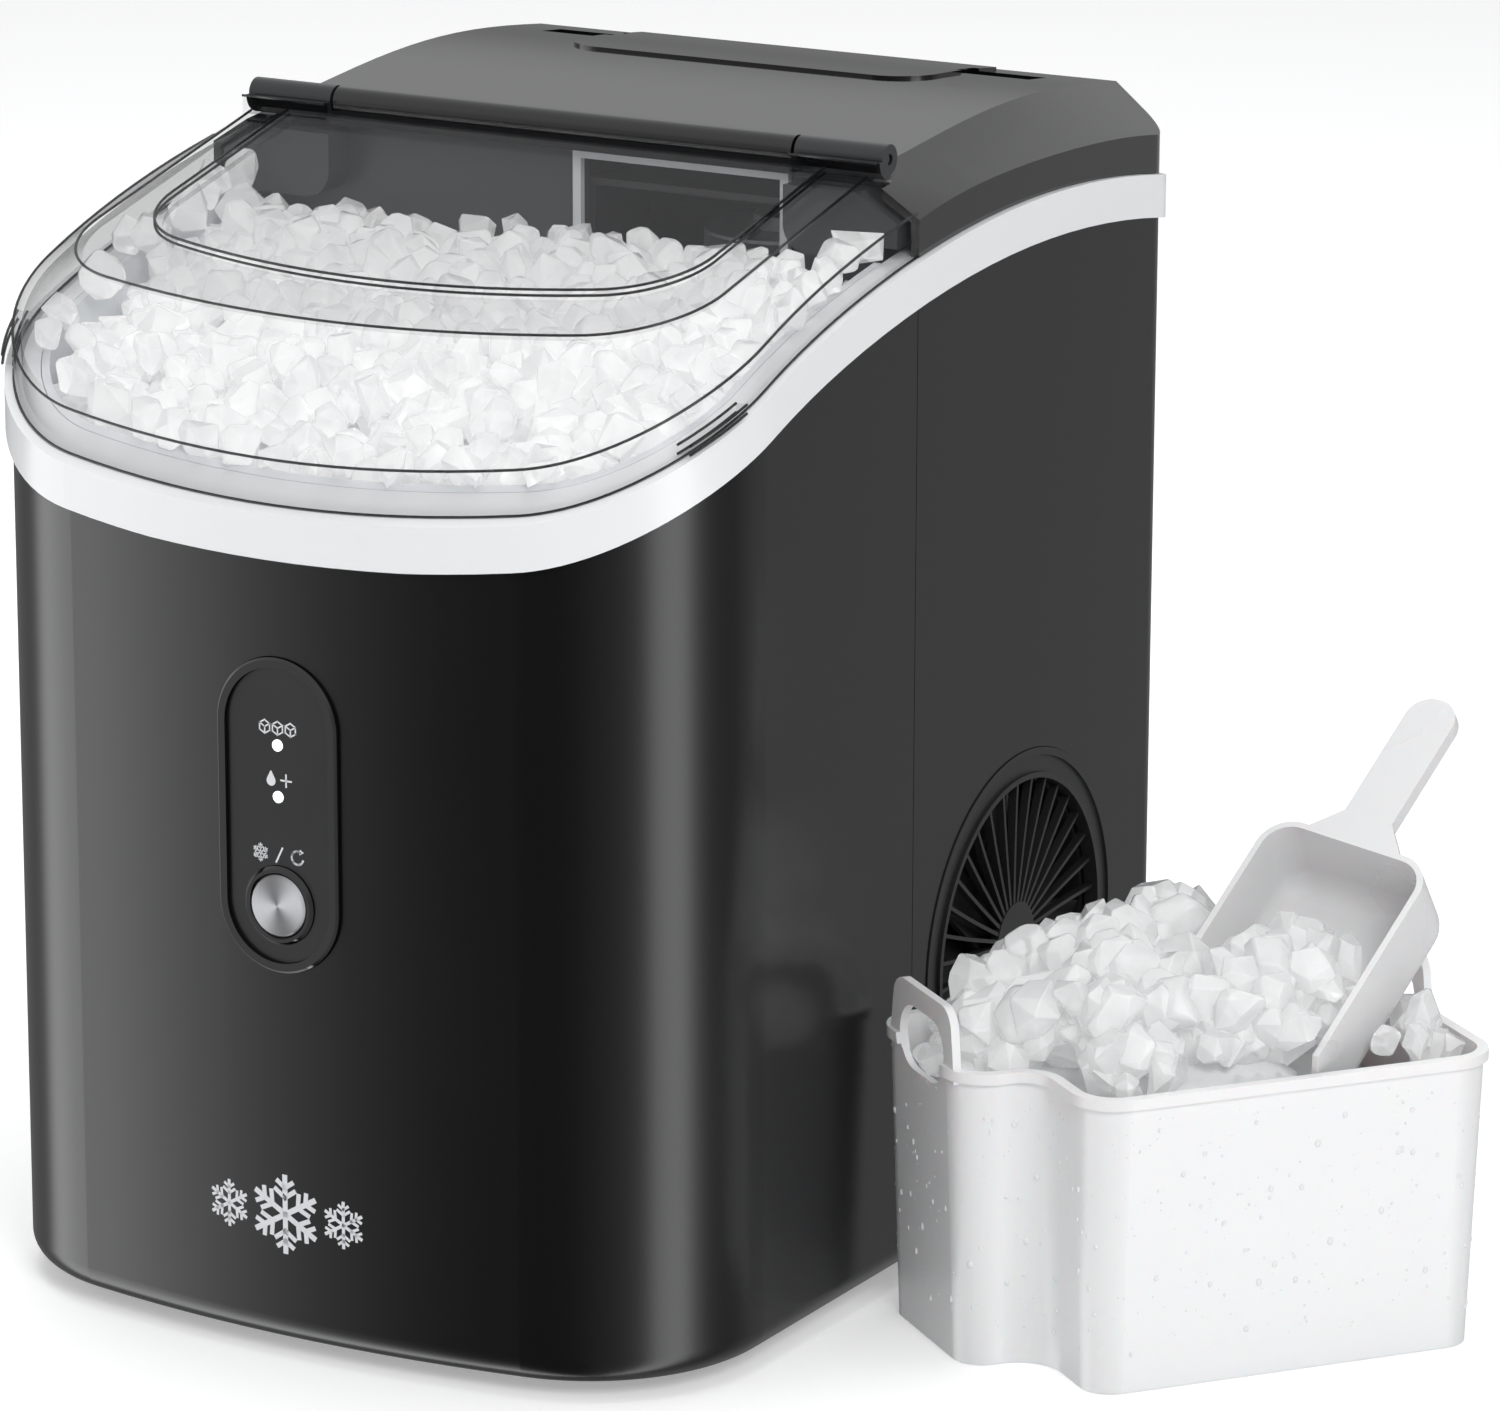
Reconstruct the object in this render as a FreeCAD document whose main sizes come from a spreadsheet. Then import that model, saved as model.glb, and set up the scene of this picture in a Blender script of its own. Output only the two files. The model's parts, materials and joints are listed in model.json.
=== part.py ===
"""Countertop nugget-ice maker: casing, clear lid, ice-making unit, basket and scoop.

The origin is the centre of the machine's footprint on the counter.  +Z is up, the control
panel faces -Y and the fan grille is on the +X side.  All sizes are in millimetres.
"""
import FreeCAD, Part
import Sketcher
import math
import os
import re

doc = FreeCAD.newDocument("ice_maker")
sheet = doc.addObject("Spreadsheet::Sheet", "sizes")

DIMENSIONS = [
    # overall casing
    ("body_wide", 230, "width of the casing"),
    ("body_deep", 290, "depth of the casing"),
    ("foot_tall", 4, "gap under the casing"),
    ("wall", 2.5, "casing wall"),
    ("bow_radius", 404, "bow of the front in plan"),
    ("front_corner", 54, "front corner radius in plan"),
    ("rear_corner", 8, "rear corner radius in plan"),
    ("under_round", 7.5, "turned-under bottom edge"),
    ("seam_place", -4.2, "seam between the front and rear casings, along Y"),
    ("seam_gap", 0.3, "gap at a casing seam"),
    # white trim and the profile it follows
    ("rim_front", 237.3, "trim top at the front"),
    ("rim_quarter", 275.4, "trim top at a quarter of the depth"),
    ("rim_middle", 287.2, "trim top at two fifths of the depth"),
    ("rim_crown", 297.7, "trim top at seven tenths of the depth"),
    ("rim_rear", 291.1, "trim top at the rear"),
    ("trim_tall", 12.5, "height of the trim"),
    ("trim_proud", 2, "how far the trim stands out"),
    ("trim_wide", 8, "how far the trim reaches inwards"),
    ("fit_gap", 0.2, "gap between fitted casing pieces"),
    # hinge
    ("hinge_place", 1, "hinge axis along Y"),
    ("hinge_tall", 317, "hinge axis height"),
    ("barrel_radius", 4.2, "hinge barrel"),
    ("barrel_inner", 75.5, "inner end of a lid barrel from the middle"),
    ("barrel_outer", 103, "outer end of a lid barrel from the middle"),
    ("pin_radius", 1.5, "hinge pin"),
    ("pin_clear", 0.05, "running clearance of a pin or shaft"),
    ("swing_clear", 2.1, "room round a turning barrel"),
    # lid
    ("lid_wall", 2.2, "lid wall"),
    ("lid_inset", 0.6, "lid skirt inside the casing outline"),
    ("lid_skirt", 12.5, "height of the lid skirt"),
    ("lid_slope", 0.246, "rise of the lid top for each unit of depth"),
    ("lid_half", 100, "half width of the lid top"),
    ("lid_nose", 21, "setback of the lid top from the front"),
    ("step_half", 87, "half width of the raised step"),
    ("step_nose", 44, "setback of the raised step"),
    ("step_tall", 1.6, "height of the raised step"),
    # rear cover
    ("cover_shoulder", 302.4, "chamfer foot at the seam"),
    ("cover_front", 313.6, "cover top at the seam"),
    ("cover_crown", 320.4, "highest point of the cover"),
    ("cover_half", 97.5, "half width of the cover top"),
    # ice bin
    ("bin_floor", 166, "underside of the ice bin"),
    ("bin_wall", 2.2, "bin wall"),
    ("bin_rear", 6, "rear face of the ice bin"),
    ("wall_start", 262, "bottom of the dark bin wall"),
    ("wall_top", 310.9, "top of the dark bin wall"),
    ("outlet_middle", 36.5, "middle of the ice outlet along X"),
    ("outlet_half", 34.5, "half width of the outlet frame"),
    ("outlet_top", 310.6, "top of the outlet frame"),
    ("outlet_low", 270, "bottom of the outlet frame"),
    ("outlet_bar", 2.6, "bar of the outlet frame"),
    # control panel
    ("panel_wide", 38, "control capsule width"),
    ("panel_tall", 87, "control capsule height"),
    ("panel_middle", 153.5, "control capsule centre height"),
    ("panel_rim", 2.7, "rim of the control capsule"),
    ("lens_radius", 1.6, "indicator lens"),
    ("lens_high", 172.9, "upper lens height"),
    ("lens_low", 158.7, "lower lens height"),
    ("button_radius", 8.7, "button"),
    ("button_tall", 128.7, "button height"),
    ("button_travel", 1, "button travel"),
    # cooling unit
    ("grille_radius", 56, "fan grille"),
    ("grille_ring", 47, "inside of the grille ring"),
    ("fan_place", 60, "fan axis along Y"),
    ("fan_tall", 83, "fan axis height"),
    ("fan_radius", 44, "fan blades"),
    ("shroud_half", 49, "half side of the fan shroud"),
    ("compressor_radius", 43, "compressor can"),
    ("compressor_across", -48, "compressor axis along X"),
    ("compressor_back", 65, "compressor axis from the rear face"),
    ("compressor_top", 112, "compressor can top"),
    ("barrel_place", 62, "freezing barrel axis along Y"),
    ("freezer_radius", 20, "freezing barrel"),
    ("freezer_foot", 170, "freezing barrel foot"),
    ("freezer_top", 268, "freezing barrel top"),
    ("auger_radius", 15, "auger blade"),
    ("bore_radius", 15.5, "freezing barrel bore"),
    # water
    ("tank_tall", 125, "height of the water tank"),
    ("tank_rear", 8, "rear face of the water tank"),
    ("float_travel", 40, "travel of the level float"),
    # basket and scoop
    ("basket_wide", 144, "basket width"),
    ("basket_deep", 92, "basket depth"),
    ("basket_tall", 84, "basket height"),
    ("basket_wall", 2, "basket wall"),
    ("basket_corner", 12, "basket corner radius"),
    ("notch_wide", 23, "width of the corner step"),
    ("notch_deep", 33, "depth of the corner step"),
    ("basket_turn", 52, "turn of the basket on the counter, degrees"),
    ("basket_across", 196.5, "basket centre along X"),
    ("basket_place", 3, "basket centre along Y"),
    ("handle_rise", 16, "handle loop above the basket rim"),
    ("scoop_wide", 52, "scoop width"),
    ("scoop_long", 84, "scoop bowl length"),
    ("scoop_deep", 28, "scoop bowl depth"),
    ("scoop_wall", 1.8, "scoop wall"),
    ("scoop_handle", 52, "scoop handle length"),
    ("scoop_corner", 10, "rounding of the scoop bowl"),
    ("scoop_lean", 39, "lean of the scoop's handle from level, degrees"),
    ("scoop_turn", 117, "turn of the scoop in the basket, degrees"),
    ("scoop_roll", 9, "roll of the scoop about its handle, degrees"),
]
for row, (alias, value, note) in enumerate(DIMENSIONS, start=1):
    sheet.set(f"A{row}", note)
    sheet.set(f"B{row}", str(value))
    sheet.setAlias(f"B{row}", alias)
doc.recompute()
ALIASES = {alias for alias, value, note in DIMENSIONS}


class Sizes:
    """Reads a driving dimension from the spreadsheet by its name."""

    def __getattr__(self, name):
        return float(sheet.get(name))


size = Sizes()
UP = FreeCAD.Vector(0, 0, 1)
ALONG_X = FreeCAD.Vector(1, 0, 0)
ALONG_Y = FreeCAD.Vector(0, 1, 0)
ORIGIN = FreeCAD.Vector(0, 0, 0)
nodes = []
helpers = 0


# ---------------------------------------------------------------- document helpers
def point(x, y, z=0.0):
    return FreeCAD.Vector(x, y, z)


def formula(text):
    """An expression whose size names are looked up in the spreadsheet."""
    return re.sub(r"[a-z_]{3,}", lambda m: "sizes." + m[0] if m[0] in ALIASES else m[0], str(text))


def bind(obj, **texts):
    for prop, text in texts.items():
        obj.setExpression(prop.replace("__", "."), formula(text))
    return obj


def place(obj, x=0, y=0, z=0):
    for axis, text in (("x", x), ("y", y), ("z", z)):
        obj.setExpression(f"Placement.Base.{axis}", formula(text))
    return obj


def helper_name(kind):
    global helpers
    helpers += 1
    return f"{kind}_{helpers}"


def box(long, wide, tall, x=0, y=0, z=0):
    """A block whose lowest corner is at x, y, z; every size is an expression."""
    obj = doc.addObject("Part::Box", helper_name("block"))
    bind(obj, Length=long, Width=wide, Height=tall)
    return place(obj, x, y, z)


TURN = {
    "x": FreeCAD.Rotation(ALONG_Y, 90),
    "y": FreeCAD.Rotation(ALONG_X, -90),
    "z": FreeCAD.Rotation(),
}


def rod(radius, tall, x=0, y=0, z=0, axis="z"):
    """A cylinder that starts at x, y, z and runs along axis."""
    obj = doc.addObject("Part::Cylinder", helper_name("rod"))
    obj.Placement = FreeCAD.Placement(ORIGIN, TURN[axis])
    bind(obj, Radius=radius, Height=tall)
    return place(obj, x, y, z)


def join(*shapes):
    obj = doc.addObject("Part::MultiFuse", helper_name("join"))
    obj.Shapes = list(shapes)
    return obj


def less(base, *tools):
    """base with every tool cut away."""
    obj = doc.addObject("Part::Cut", helper_name("less"))
    obj.Base = base
    obj.Tool = tools[0] if len(tools) == 1 else join(*tools)
    return obj


def group(*shapes):
    obj = doc.addObject("Part::Compound", helper_name("group"))
    obj.Links = list(shapes)
    return obj


def solid(shape, name="shape"):
    """A document object that holds a shape made by Part's own functions."""
    obj = doc.addObject("Part::Feature", helper_name(name))
    obj.Shape = shape
    return obj


def node(name, obj):
    """Marks a finished sub-part; its label names its file."""
    obj.Label = name
    nodes.append(obj)
    return obj


def plane_of(body, role):
    return next(f for f in body.Origin.OriginFeatures if f.Role == role)


def sketch_polygon(body, role, corners):
    """A closed sketch of straight lines whose corners are bound to expressions."""
    sketch = body.newObject("Sketcher::SketchObject", helper_name("outline"))
    sketch.AttachmentSupport = [(plane_of(body, role), "")]
    sketch.MapMode = "FlatFace"
    count = len(corners)
    for i in range(count):
        a = point(10 * math.cos(i), 10 * math.sin(i))
        b = point(10 * math.cos(i + 1), 10 * math.sin(i + 1))
        sketch.addGeometry(Part.LineSegment(a, b), False)
    for i in range(count):
        sketch.addConstraint(Sketcher.Constraint("Coincident", i, 2, (i + 1) % count, 1))
    for i, (across, along) in enumerate(corners):
        for kind, text in (("DistanceX", across), ("DistanceY", along)):
            index = sketch.addConstraint(Sketcher.Constraint(kind, -1, 1, i, 1, 1.0))
            sketch.setExpression(f"Constraints[{index}]", formula(text))
    return sketch


def turned_body(corners):
    """A part turned about its own Z axis; corners are (radius, height)."""
    body = doc.addObject("PartDesign::Body", helper_name("turned"))
    sketch = sketch_polygon(body, "XZ_Plane", corners)
    doc.recompute()
    turned = body.newObject("PartDesign::Revolution", helper_name("revolution"))
    turned.Profile = sketch
    turned.ReferenceAxis = (sketch, ["V_Axis"])
    turned.Angle = 360
    sketch.Visibility = False
    body.Tip = turned
    return body


def padded_body(role, corners, length):
    """A straight-sided prism: a polygon drawn on a base plane and padded."""
    body = doc.addObject("PartDesign::Body", helper_name("padded"))
    sketch = sketch_polygon(body, role, corners)
    doc.recompute()
    pad = body.newObject("PartDesign::Pad", helper_name("pad"))
    pad.Profile = sketch
    bind(pad, Length=length)
    body.Tip = pad
    return body


# ---------------------------------------------------------------- casing outlines
def bowed_outline(half, nose, bow, corner, rear, rear_radius, z=0.0):
    """A plan outline: bowed front, round front corners, straight sides, flat rear."""
    bow_y = nose + bow
    corner_x = half - corner
    corner_y = bow_y - math.sqrt((bow - corner) ** 2 - corner_x ** 2)
    out = point(corner_x, corner_y - bow_y).normalize()
    meet = point(0, bow_y) + out * bow
    middle = point(corner_x, corner_y) + (out + ALONG_X).normalize() * corner
    right = [meet, middle, point(half, corner_y)]
    left = [point(-p.x, p.y) for p in right]
    edges = [
        Part.Arc(left[0], point(0, nose), right[0]),
        Part.Arc(*right),
    ]
    if rear_radius > 0:
        centre = point(half - rear_radius, rear - rear_radius)
        turn = rear_radius * math.sqrt(0.5)
        first = point(half, centre.y)
        second = centre + point(turn, turn)
        third = point(centre.x, rear)
        edges.append(Part.LineSegment(right[2], first))
        edges.append(Part.Arc(first, second, third))
        edges.append(Part.LineSegment(third, point(-third.x, rear)))
        edges.append(Part.Arc(point(-third.x, rear), point(-second.x, second.y), point(-half, centre.y)))
        edges.append(Part.LineSegment(point(-half, centre.y), left[2]))
    else:
        edges.append(Part.LineSegment(right[2], point(half, rear)))
        edges.append(Part.LineSegment(point(half, rear), point(-half, rear)))
        edges.append(Part.LineSegment(point(-half, rear), left[2]))
    edges.append(Part.Arc(left[2], left[1], left[0]))
    wire = Part.Wire([e.toShape() for e in edges])
    wire.translate(UP * z)
    return wire


def casing_outline(inset, z=0.0):
    """The casing's plan outline, moved inwards by inset."""
    return bowed_outline(
        size.body_wide / 2 - inset,
        inset - size.body_deep / 2,
        size.bow_radius - inset,
        size.front_corner - inset,
        size.body_deep / 2 - inset,
        max(size.rear_corner - inset, 0),
        z,
    )


def front_outline(inset, rear, z=0.0):
    """The front part of the casing's outline, cut off square at rear."""
    return bowed_outline(
        size.body_wide / 2 - inset,
        inset - size.body_deep / 2,
        size.bow_radius - inset,
        size.front_corner - inset,
        rear,
        0,
        z,
    )


def prism(wire, tall):
    return Part.Face(wire).extrude(UP * tall)


def rim_curve():
    """The trim's top line, as a smooth curve over the depth."""
    deep = size.body_deep
    knots = [
        (0.0, size.rim_front),
        (0.25, size.rim_quarter),
        (0.4, size.rim_middle),
        (0.7, size.rim_crown),
        (1.0, size.rim_rear),
    ]
    curve = Part.BSplineCurve()
    curve.interpolate([point(0, deep * (f - 0.5), z) for f, z in knots])
    return curve


RIM = rim_curve()
OVERHANG = 12.0


def rim_height(y):
    """Height of the trim's top line at a depth."""
    low = -size.body_deep / 2
    held = min(max(y, low), -low)
    across = Part.Plane(point(0, held), ALONG_Y)
    meets = RIM.intersect(across)[0]
    return meets[0].Z


def under_rim(shift, foot=0.0):
    """Everything below the trim's top line moved up by shift."""
    half = size.body_deep / 2
    reach = size.body_wide
    curve = RIM.toShape()
    start = point(0, -half, size.rim_front)
    end = point(0, half, size.rim_rear)
    first = start - point(0, OVERHANG, OVERHANG * 0.56)
    last = end + point(0, OVERHANG, -OVERHANG * 0.13)
    lines = [
        Part.makeLine(first, start),
        curve,
        Part.makeLine(end, last),
        Part.makeLine(last, point(0, last.y, foot - shift)),
        Part.makeLine(point(0, last.y, foot - shift), point(0, first.y, foot - shift)),
        Part.makeLine(point(0, first.y, foot - shift), first),
    ]
    face = Part.Face(Part.Wire(lines))
    block = face.extrude(ALONG_X * 2 * reach)
    block.translate(point(-reach, 0, shift))
    return block


def half_space(low, high, tall=400.0):
    """A block across the casing from one depth to another."""
    reach = size.body_wide
    return Part.makeBox(2 * reach, high - low, tall, point(-reach, low, -10))


def round_bottom(shape, radius, z):
    """Rounds the bottom edge loop of an upright prism."""
    edges = [e for e in shape.Edges if abs(e.BoundBox.ZMax - z) < 1e-6]
    return shape.makeFillet(radius, edges)


# ---------------------------------------------------------------- casing
def casing_shell():
    """The whole casing wall before it is split at its seams."""
    foot = size.foot_tall
    tall = size.rim_crown
    outer = round_bottom(prism(casing_outline(0, foot), tall), size.under_round, foot)
    floor = foot + size.wall
    inner = round_bottom(
        prism(casing_outline(size.wall, floor), tall), size.under_round - size.wall, floor
    )
    opening = prism(casing_outline(size.under_round + 8, foot - 1), 10)
    shell = outer.cut(inner).cut(opening)
    return shell.common(under_rim(-size.trim_tall - size.fit_gap))


def capsule(wide, tall, deep, front, middle):
    """An upright rounded slot shape, run along Y from front."""
    radius = wide / 2
    half = tall / 2 - radius
    low = middle - half
    high = middle + half
    right = Part.LineSegment(point(radius, front, low), point(radius, front, high))
    left = Part.LineSegment(point(-radius, front, high), point(-radius, front, low))
    top = Part.Arc(
        point(radius, front, high), point(0, front, high + radius), point(-radius, front, high)
    )
    base = Part.Arc(
        point(-radius, front, low), point(0, front, low - radius), point(radius, front, low)
    )
    wire = Part.Wire([e.toShape() for e in (right, top, left, base)])
    return Part.Face(wire).extrude(ALONG_Y * deep)


def casing():
    shell = casing_shell()
    front = -size.body_deep / 2
    rear = size.body_deep / 2
    seam = size.seam_place
    gap = size.seam_gap / 2
    panel_hole = capsule(
        size.panel_wide + 2 * size.fit_gap,
        size.panel_tall + 2 * size.fit_gap,
        20,
        front - 5,
        size.panel_middle,
    )
    node("front_shell", solid(shell.common(half_space(front - 20, seam - gap)).cut(panel_hole)))

    behind = shell.common(half_space(seam + gap, rear + 20))
    back_half = size.body_wide / 2 - size.rear_corner - 4
    back_low = size.foot_tall + size.under_round + 4
    back_block = Part.makeBox(
        2 * back_half, 3 * size.wall, 400, point(-back_half, rear - 2 * size.wall, back_low)
    )
    grown = Part.makeBox(
        2 * (back_half + 2 * gap),
        3 * size.wall,
        400,
        point(-back_half - 2 * gap, rear - 2 * size.wall, back_low - 2 * gap),
    )
    node("rear_panel", rear_panel(behind.common(back_block)))
    sides = behind.cut(grown)
    split = Part.makeBox(2 * gap, 400, 60, point(-gap, 0, -10))
    sides = sides.cut(split)
    right = sides.common(Part.makeBox(200, 400, 400, point(0, -100, -10)))
    left = sides.common(Part.makeBox(200, 400, 400, point(-200, -100, -10)))
    hole = Part.makeCylinder(
        size.grille_radius, 20, point(size.body_wide / 2 - 15, size.fan_place, size.fan_tall), ALONG_X
    )
    node("right_side_panel", solid(right.cut(hole)))
    vents = vent_slots(-size.body_wide / 2 - 5, 15)
    node("left_side_panel", solid(left.cut(vents)))


def vent_slots(x, deep):
    """A field of upright air slots in the left side."""
    slot_wide = 3.2
    pitch = 8.0
    count = 11
    slots = []
    for i in range(count):
        y = size.fan_place + (i - (count - 1) / 2) * pitch
        half = 44 - 1.1 * abs(i - (count - 1) / 2) ** 2 * 0.9
        slots.append(
            Part.makeBox(deep, slot_wide, 2 * half, point(x, y - slot_wide / 2, size.fan_tall - half))
        )
    return Part.makeCompound(slots)


GLAND_ACROSS = -80.0
GLAND_TALL = 52.0
GLAND_RADIUS = 8.0
DRAIN_ACROSS = 62.0
DRAIN_TALL = 26.0
DRAIN_RADIUS = 7.0


def rear_panel(blank):
    """The back panel with air slots and the holes for the cord gland and the drain."""
    rear = size.body_deep / 2
    tools = []
    for hole_x, hole_z, radius in (
        (GLAND_ACROSS, GLAND_TALL, GLAND_RADIUS),
        (DRAIN_ACROSS, DRAIN_TALL, DRAIN_RADIUS),
    ):
        tools.append(Part.makeCylinder(radius, 20, point(hole_x, rear - 15, hole_z), ALONG_Y))
    for level in range(9):
        for side in (-1, 1):
            tools.append(
                Part.makeBox(64, 20, 3, point(side * 40 - 32, rear - 15, 96 + 9 * level))
            )
    return solid(blank.cut(Part.makeCompound(tools)))


def base_pan():
    """The pressed tray that the cooling unit stands on."""
    low = size.foot_tall + size.wall
    inset = size.under_round + 3.6
    plate = prism(casing_outline(inset, low), 2.5)
    rib_low = low + 2.5
    ribs = [
        Part.makeBox(150, 4, 3, point(-75, y, rib_low)) for y in (-100, -70, -40)
    ]
    node("base_pan", solid(plate.multiFuse(ribs)))


FOOT_INSET = 42.0
FOOT_RADIUS = 11.0


def rubber_feet():
    feet = []
    for side in (-1, 1):
        for end in (-1, 1):
            across = side * (size.body_wide / 2 - FOOT_INSET)
            along = end * (size.body_deep / 2 - FOOT_INSET)
            foot = rod(FOOT_RADIUS, "foot_tall + wall", across, along, 0)
            feet.append(foot)
    node("rubber_feet", group(*feet))


def top_trim():
    ring = prism(casing_outline(-size.trim_proud), 400).cut(prism(casing_outline(size.trim_wide), 400))
    band = ring.common(under_rim(0)).cut(under_rim(-size.trim_tall))
    node("top_trim", solid(band))


def hexagon(y, half, foot, shoulder, top_half, top):
    corners = [
        point(-half, y, foot),
        point(half, y, foot),
        point(half, y, shoulder),
        point(top_half, y, top),
        point(-top_half, y, top),
        point(-half, y, shoulder),
    ]
    return Part.makePolygon(corners + corners[:1])


def cover_lump(inset, start, drop):
    """The cover's outer form, or the space inside it, as a loft of sections."""
    half = size.body_wide / 2 - inset
    rear = size.body_deep / 2
    stations = [
        (size.seam_place + size.seam_gap, 0.0, size.cover_front),
        (0.2069 * rear, 4.5, size.cover_crown - 3.6),
        (0.4828 * rear, 5.6, size.cover_crown - 0.1),
        (0.7586 * rear, 4.2, size.cover_crown - 0.4),
        (rear, 0.1, size.cover_crown - 3.8),
    ]
    sections = []
    for y, lift, top in stations:
        along = max(y, start) if y < rear else rear - inset
        shoulder = size.cover_shoulder + lift - 0.4 * drop
        top_half = size.cover_half - 0.5 * inset
        sections.append(hexagon(along, half, 250, shoulder, top_half, top - drop))
    return Part.makeLoft(sections, True, False)


def rear_cover():
    start = size.seam_place + size.seam_gap
    outer = cover_lump(0, start, 0)
    inner = cover_lump(size.wall, start - 6, size.wall)
    outline = prism(casing_outline(0), 400)
    shell = outer.common(outline).cut(inner)
    shell = shell.cut(under_rim(size.fit_gap))
    axis = point(-size.barrel_inner + 1, size.hinge_place, size.hinge_tall)
    bead = Part.makeCylinder(size.barrel_radius, 2 * (size.barrel_inner - 1), axis, ALONG_X)
    bore = Part.makeCylinder(
        size.pin_radius, 20, point(size.barrel_inner - 16, size.hinge_place, size.hinge_tall), ALONG_X
    )
    other_bore = bore.mirror(ORIGIN, ALONG_X)
    land = cover_land()
    shell = shell.multiFuse([bead, land.common(outline)])
    tools = [bore, other_bore]
    for side in (-1, 1):
        low = size.barrel_inner - size.seam_gap
        long = size.barrel_outer - size.barrel_inner + 2 * size.seam_gap
        start_x = low if side > 0 else -low - long
        tools.append(
            Part.makeCylinder(
                size.barrel_radius + size.swing_clear,
                long,
                point(start_x, size.hinge_place, size.hinge_tall),
                ALONG_X,
            )
        )
        tools.append(
            Part.makeBox(
                long,
                size.hinge_place - size.seam_place + 2,
                20,
                point(start_x, size.seam_place - 2, size.hinge_tall - 12),
            )
        )
        recess = Part.makeBox(24, 11, 3, point(-12, 0, 0))
        recess.translate(point(side * 70, 0.83 * size.body_deep / 2, size.cover_crown - 3.4))
        tools.append(recess)
    node("rear_cover", solid(shell.cut(Part.makeCompound(tools))))


LAND_HALF = 60.0
LAND_FRONT = 93.0
LAND_RISE = 0.8


def cover_land():
    """A low raised field in the middle of the cover's rear, with round front corners."""
    rear = size.body_deep / 2
    corner = 14.0
    wire = Part.Wire(
        [
            e.toShape()
            for e in (
                Part.LineSegment(point(-LAND_HALF + corner, LAND_FRONT), point(LAND_HALF - corner, LAND_FRONT)),
                Part.Arc(
                    point(LAND_HALF - corner, LAND_FRONT),
                    point(LAND_HALF - 0.29 * corner, LAND_FRONT + 0.29 * corner),
                    point(LAND_HALF, LAND_FRONT + corner),
                ),
                Part.LineSegment(point(LAND_HALF, LAND_FRONT + corner), point(LAND_HALF, rear - 3)),
                Part.LineSegment(point(LAND_HALF, rear - 3), point(-LAND_HALF, rear - 3)),
                Part.LineSegment(point(-LAND_HALF, rear - 3), point(-LAND_HALF, LAND_FRONT + corner)),
                Part.Arc(
                    point(-LAND_HALF, LAND_FRONT + corner),
                    point(-LAND_HALF + 0.29 * corner, LAND_FRONT + 0.29 * corner),
                    point(-LAND_HALF + corner, LAND_FRONT),
                ),
            )
        ]
    )
    raised = cover_lump(0, size.seam_place, -LAND_RISE).cut(cover_lump(0, size.seam_place, 1.0))
    return prism(wire, 400).common(raised)


# ---------------------------------------------------------------- lid
def lid_top_height(y):
    """Height of the lid's sloping top plane at a depth."""
    return size.cover_front + size.lid_slope * (y - size.seam_place)


def samples(edge, count):
    return edge.discretize(Number=count)


def raised_wire(wire, height):
    """The plan wire lifted edge by edge to the height that a function gives."""
    edges = []
    for edge in wire.OrderedEdges:
        places = [point(p.x, p.y, height(p)) for p in samples(edge, 13)]
        curve = Part.BSplineCurve()
        curve.interpolate(places)
        edges.append(curve.toShape())
    return Part.Wire(edges)


def lid_lump(inset, drop, rear):
    """The lid's outer form, or the space inside it."""
    skirt = front_outline(size.lid_inset + inset, rear)
    top = bowed_outline(
        size.lid_half - 0.6 * inset,
        size.lid_nose + 0.8 * inset - size.body_deep / 2,
        0.75 * size.bow_radius,
        0.63 * size.front_corner,
        rear,
        0,
    )
    foot_wire = raised_wire(skirt, lambda p: 200.0)
    crease_wire = raised_wire(skirt, lambda p: rim_height(p.y) + size.lid_skirt - 0.5 * drop)
    top_wire = raised_wire(top, lambda p: lid_top_height(p.y) - drop)
    return Part.makeLoft([foot_wire, crease_wire, top_wire], True, True)


def lid_step(inset, drop, rear):
    """The raised step in the lid's top."""
    outline = bowed_outline(
        size.step_half - inset,
        size.step_nose + inset - size.body_deep / 2,
        0.6 * size.bow_radius,
        0.52 * size.front_corner - inset,
        rear,
        0,
    )
    low = raised_wire(outline, lambda p: lid_top_height(p.y) - 4.0)
    high = raised_wire(outline, lambda p: lid_top_height(p.y) + size.step_tall - drop)
    return Part.makeLoft([low, high], True, True)


TAB_REACH = 2.6
TAB_FRONT = -115.3
TAB_REAR = -98.0
TAB_TALL = 2.0


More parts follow.
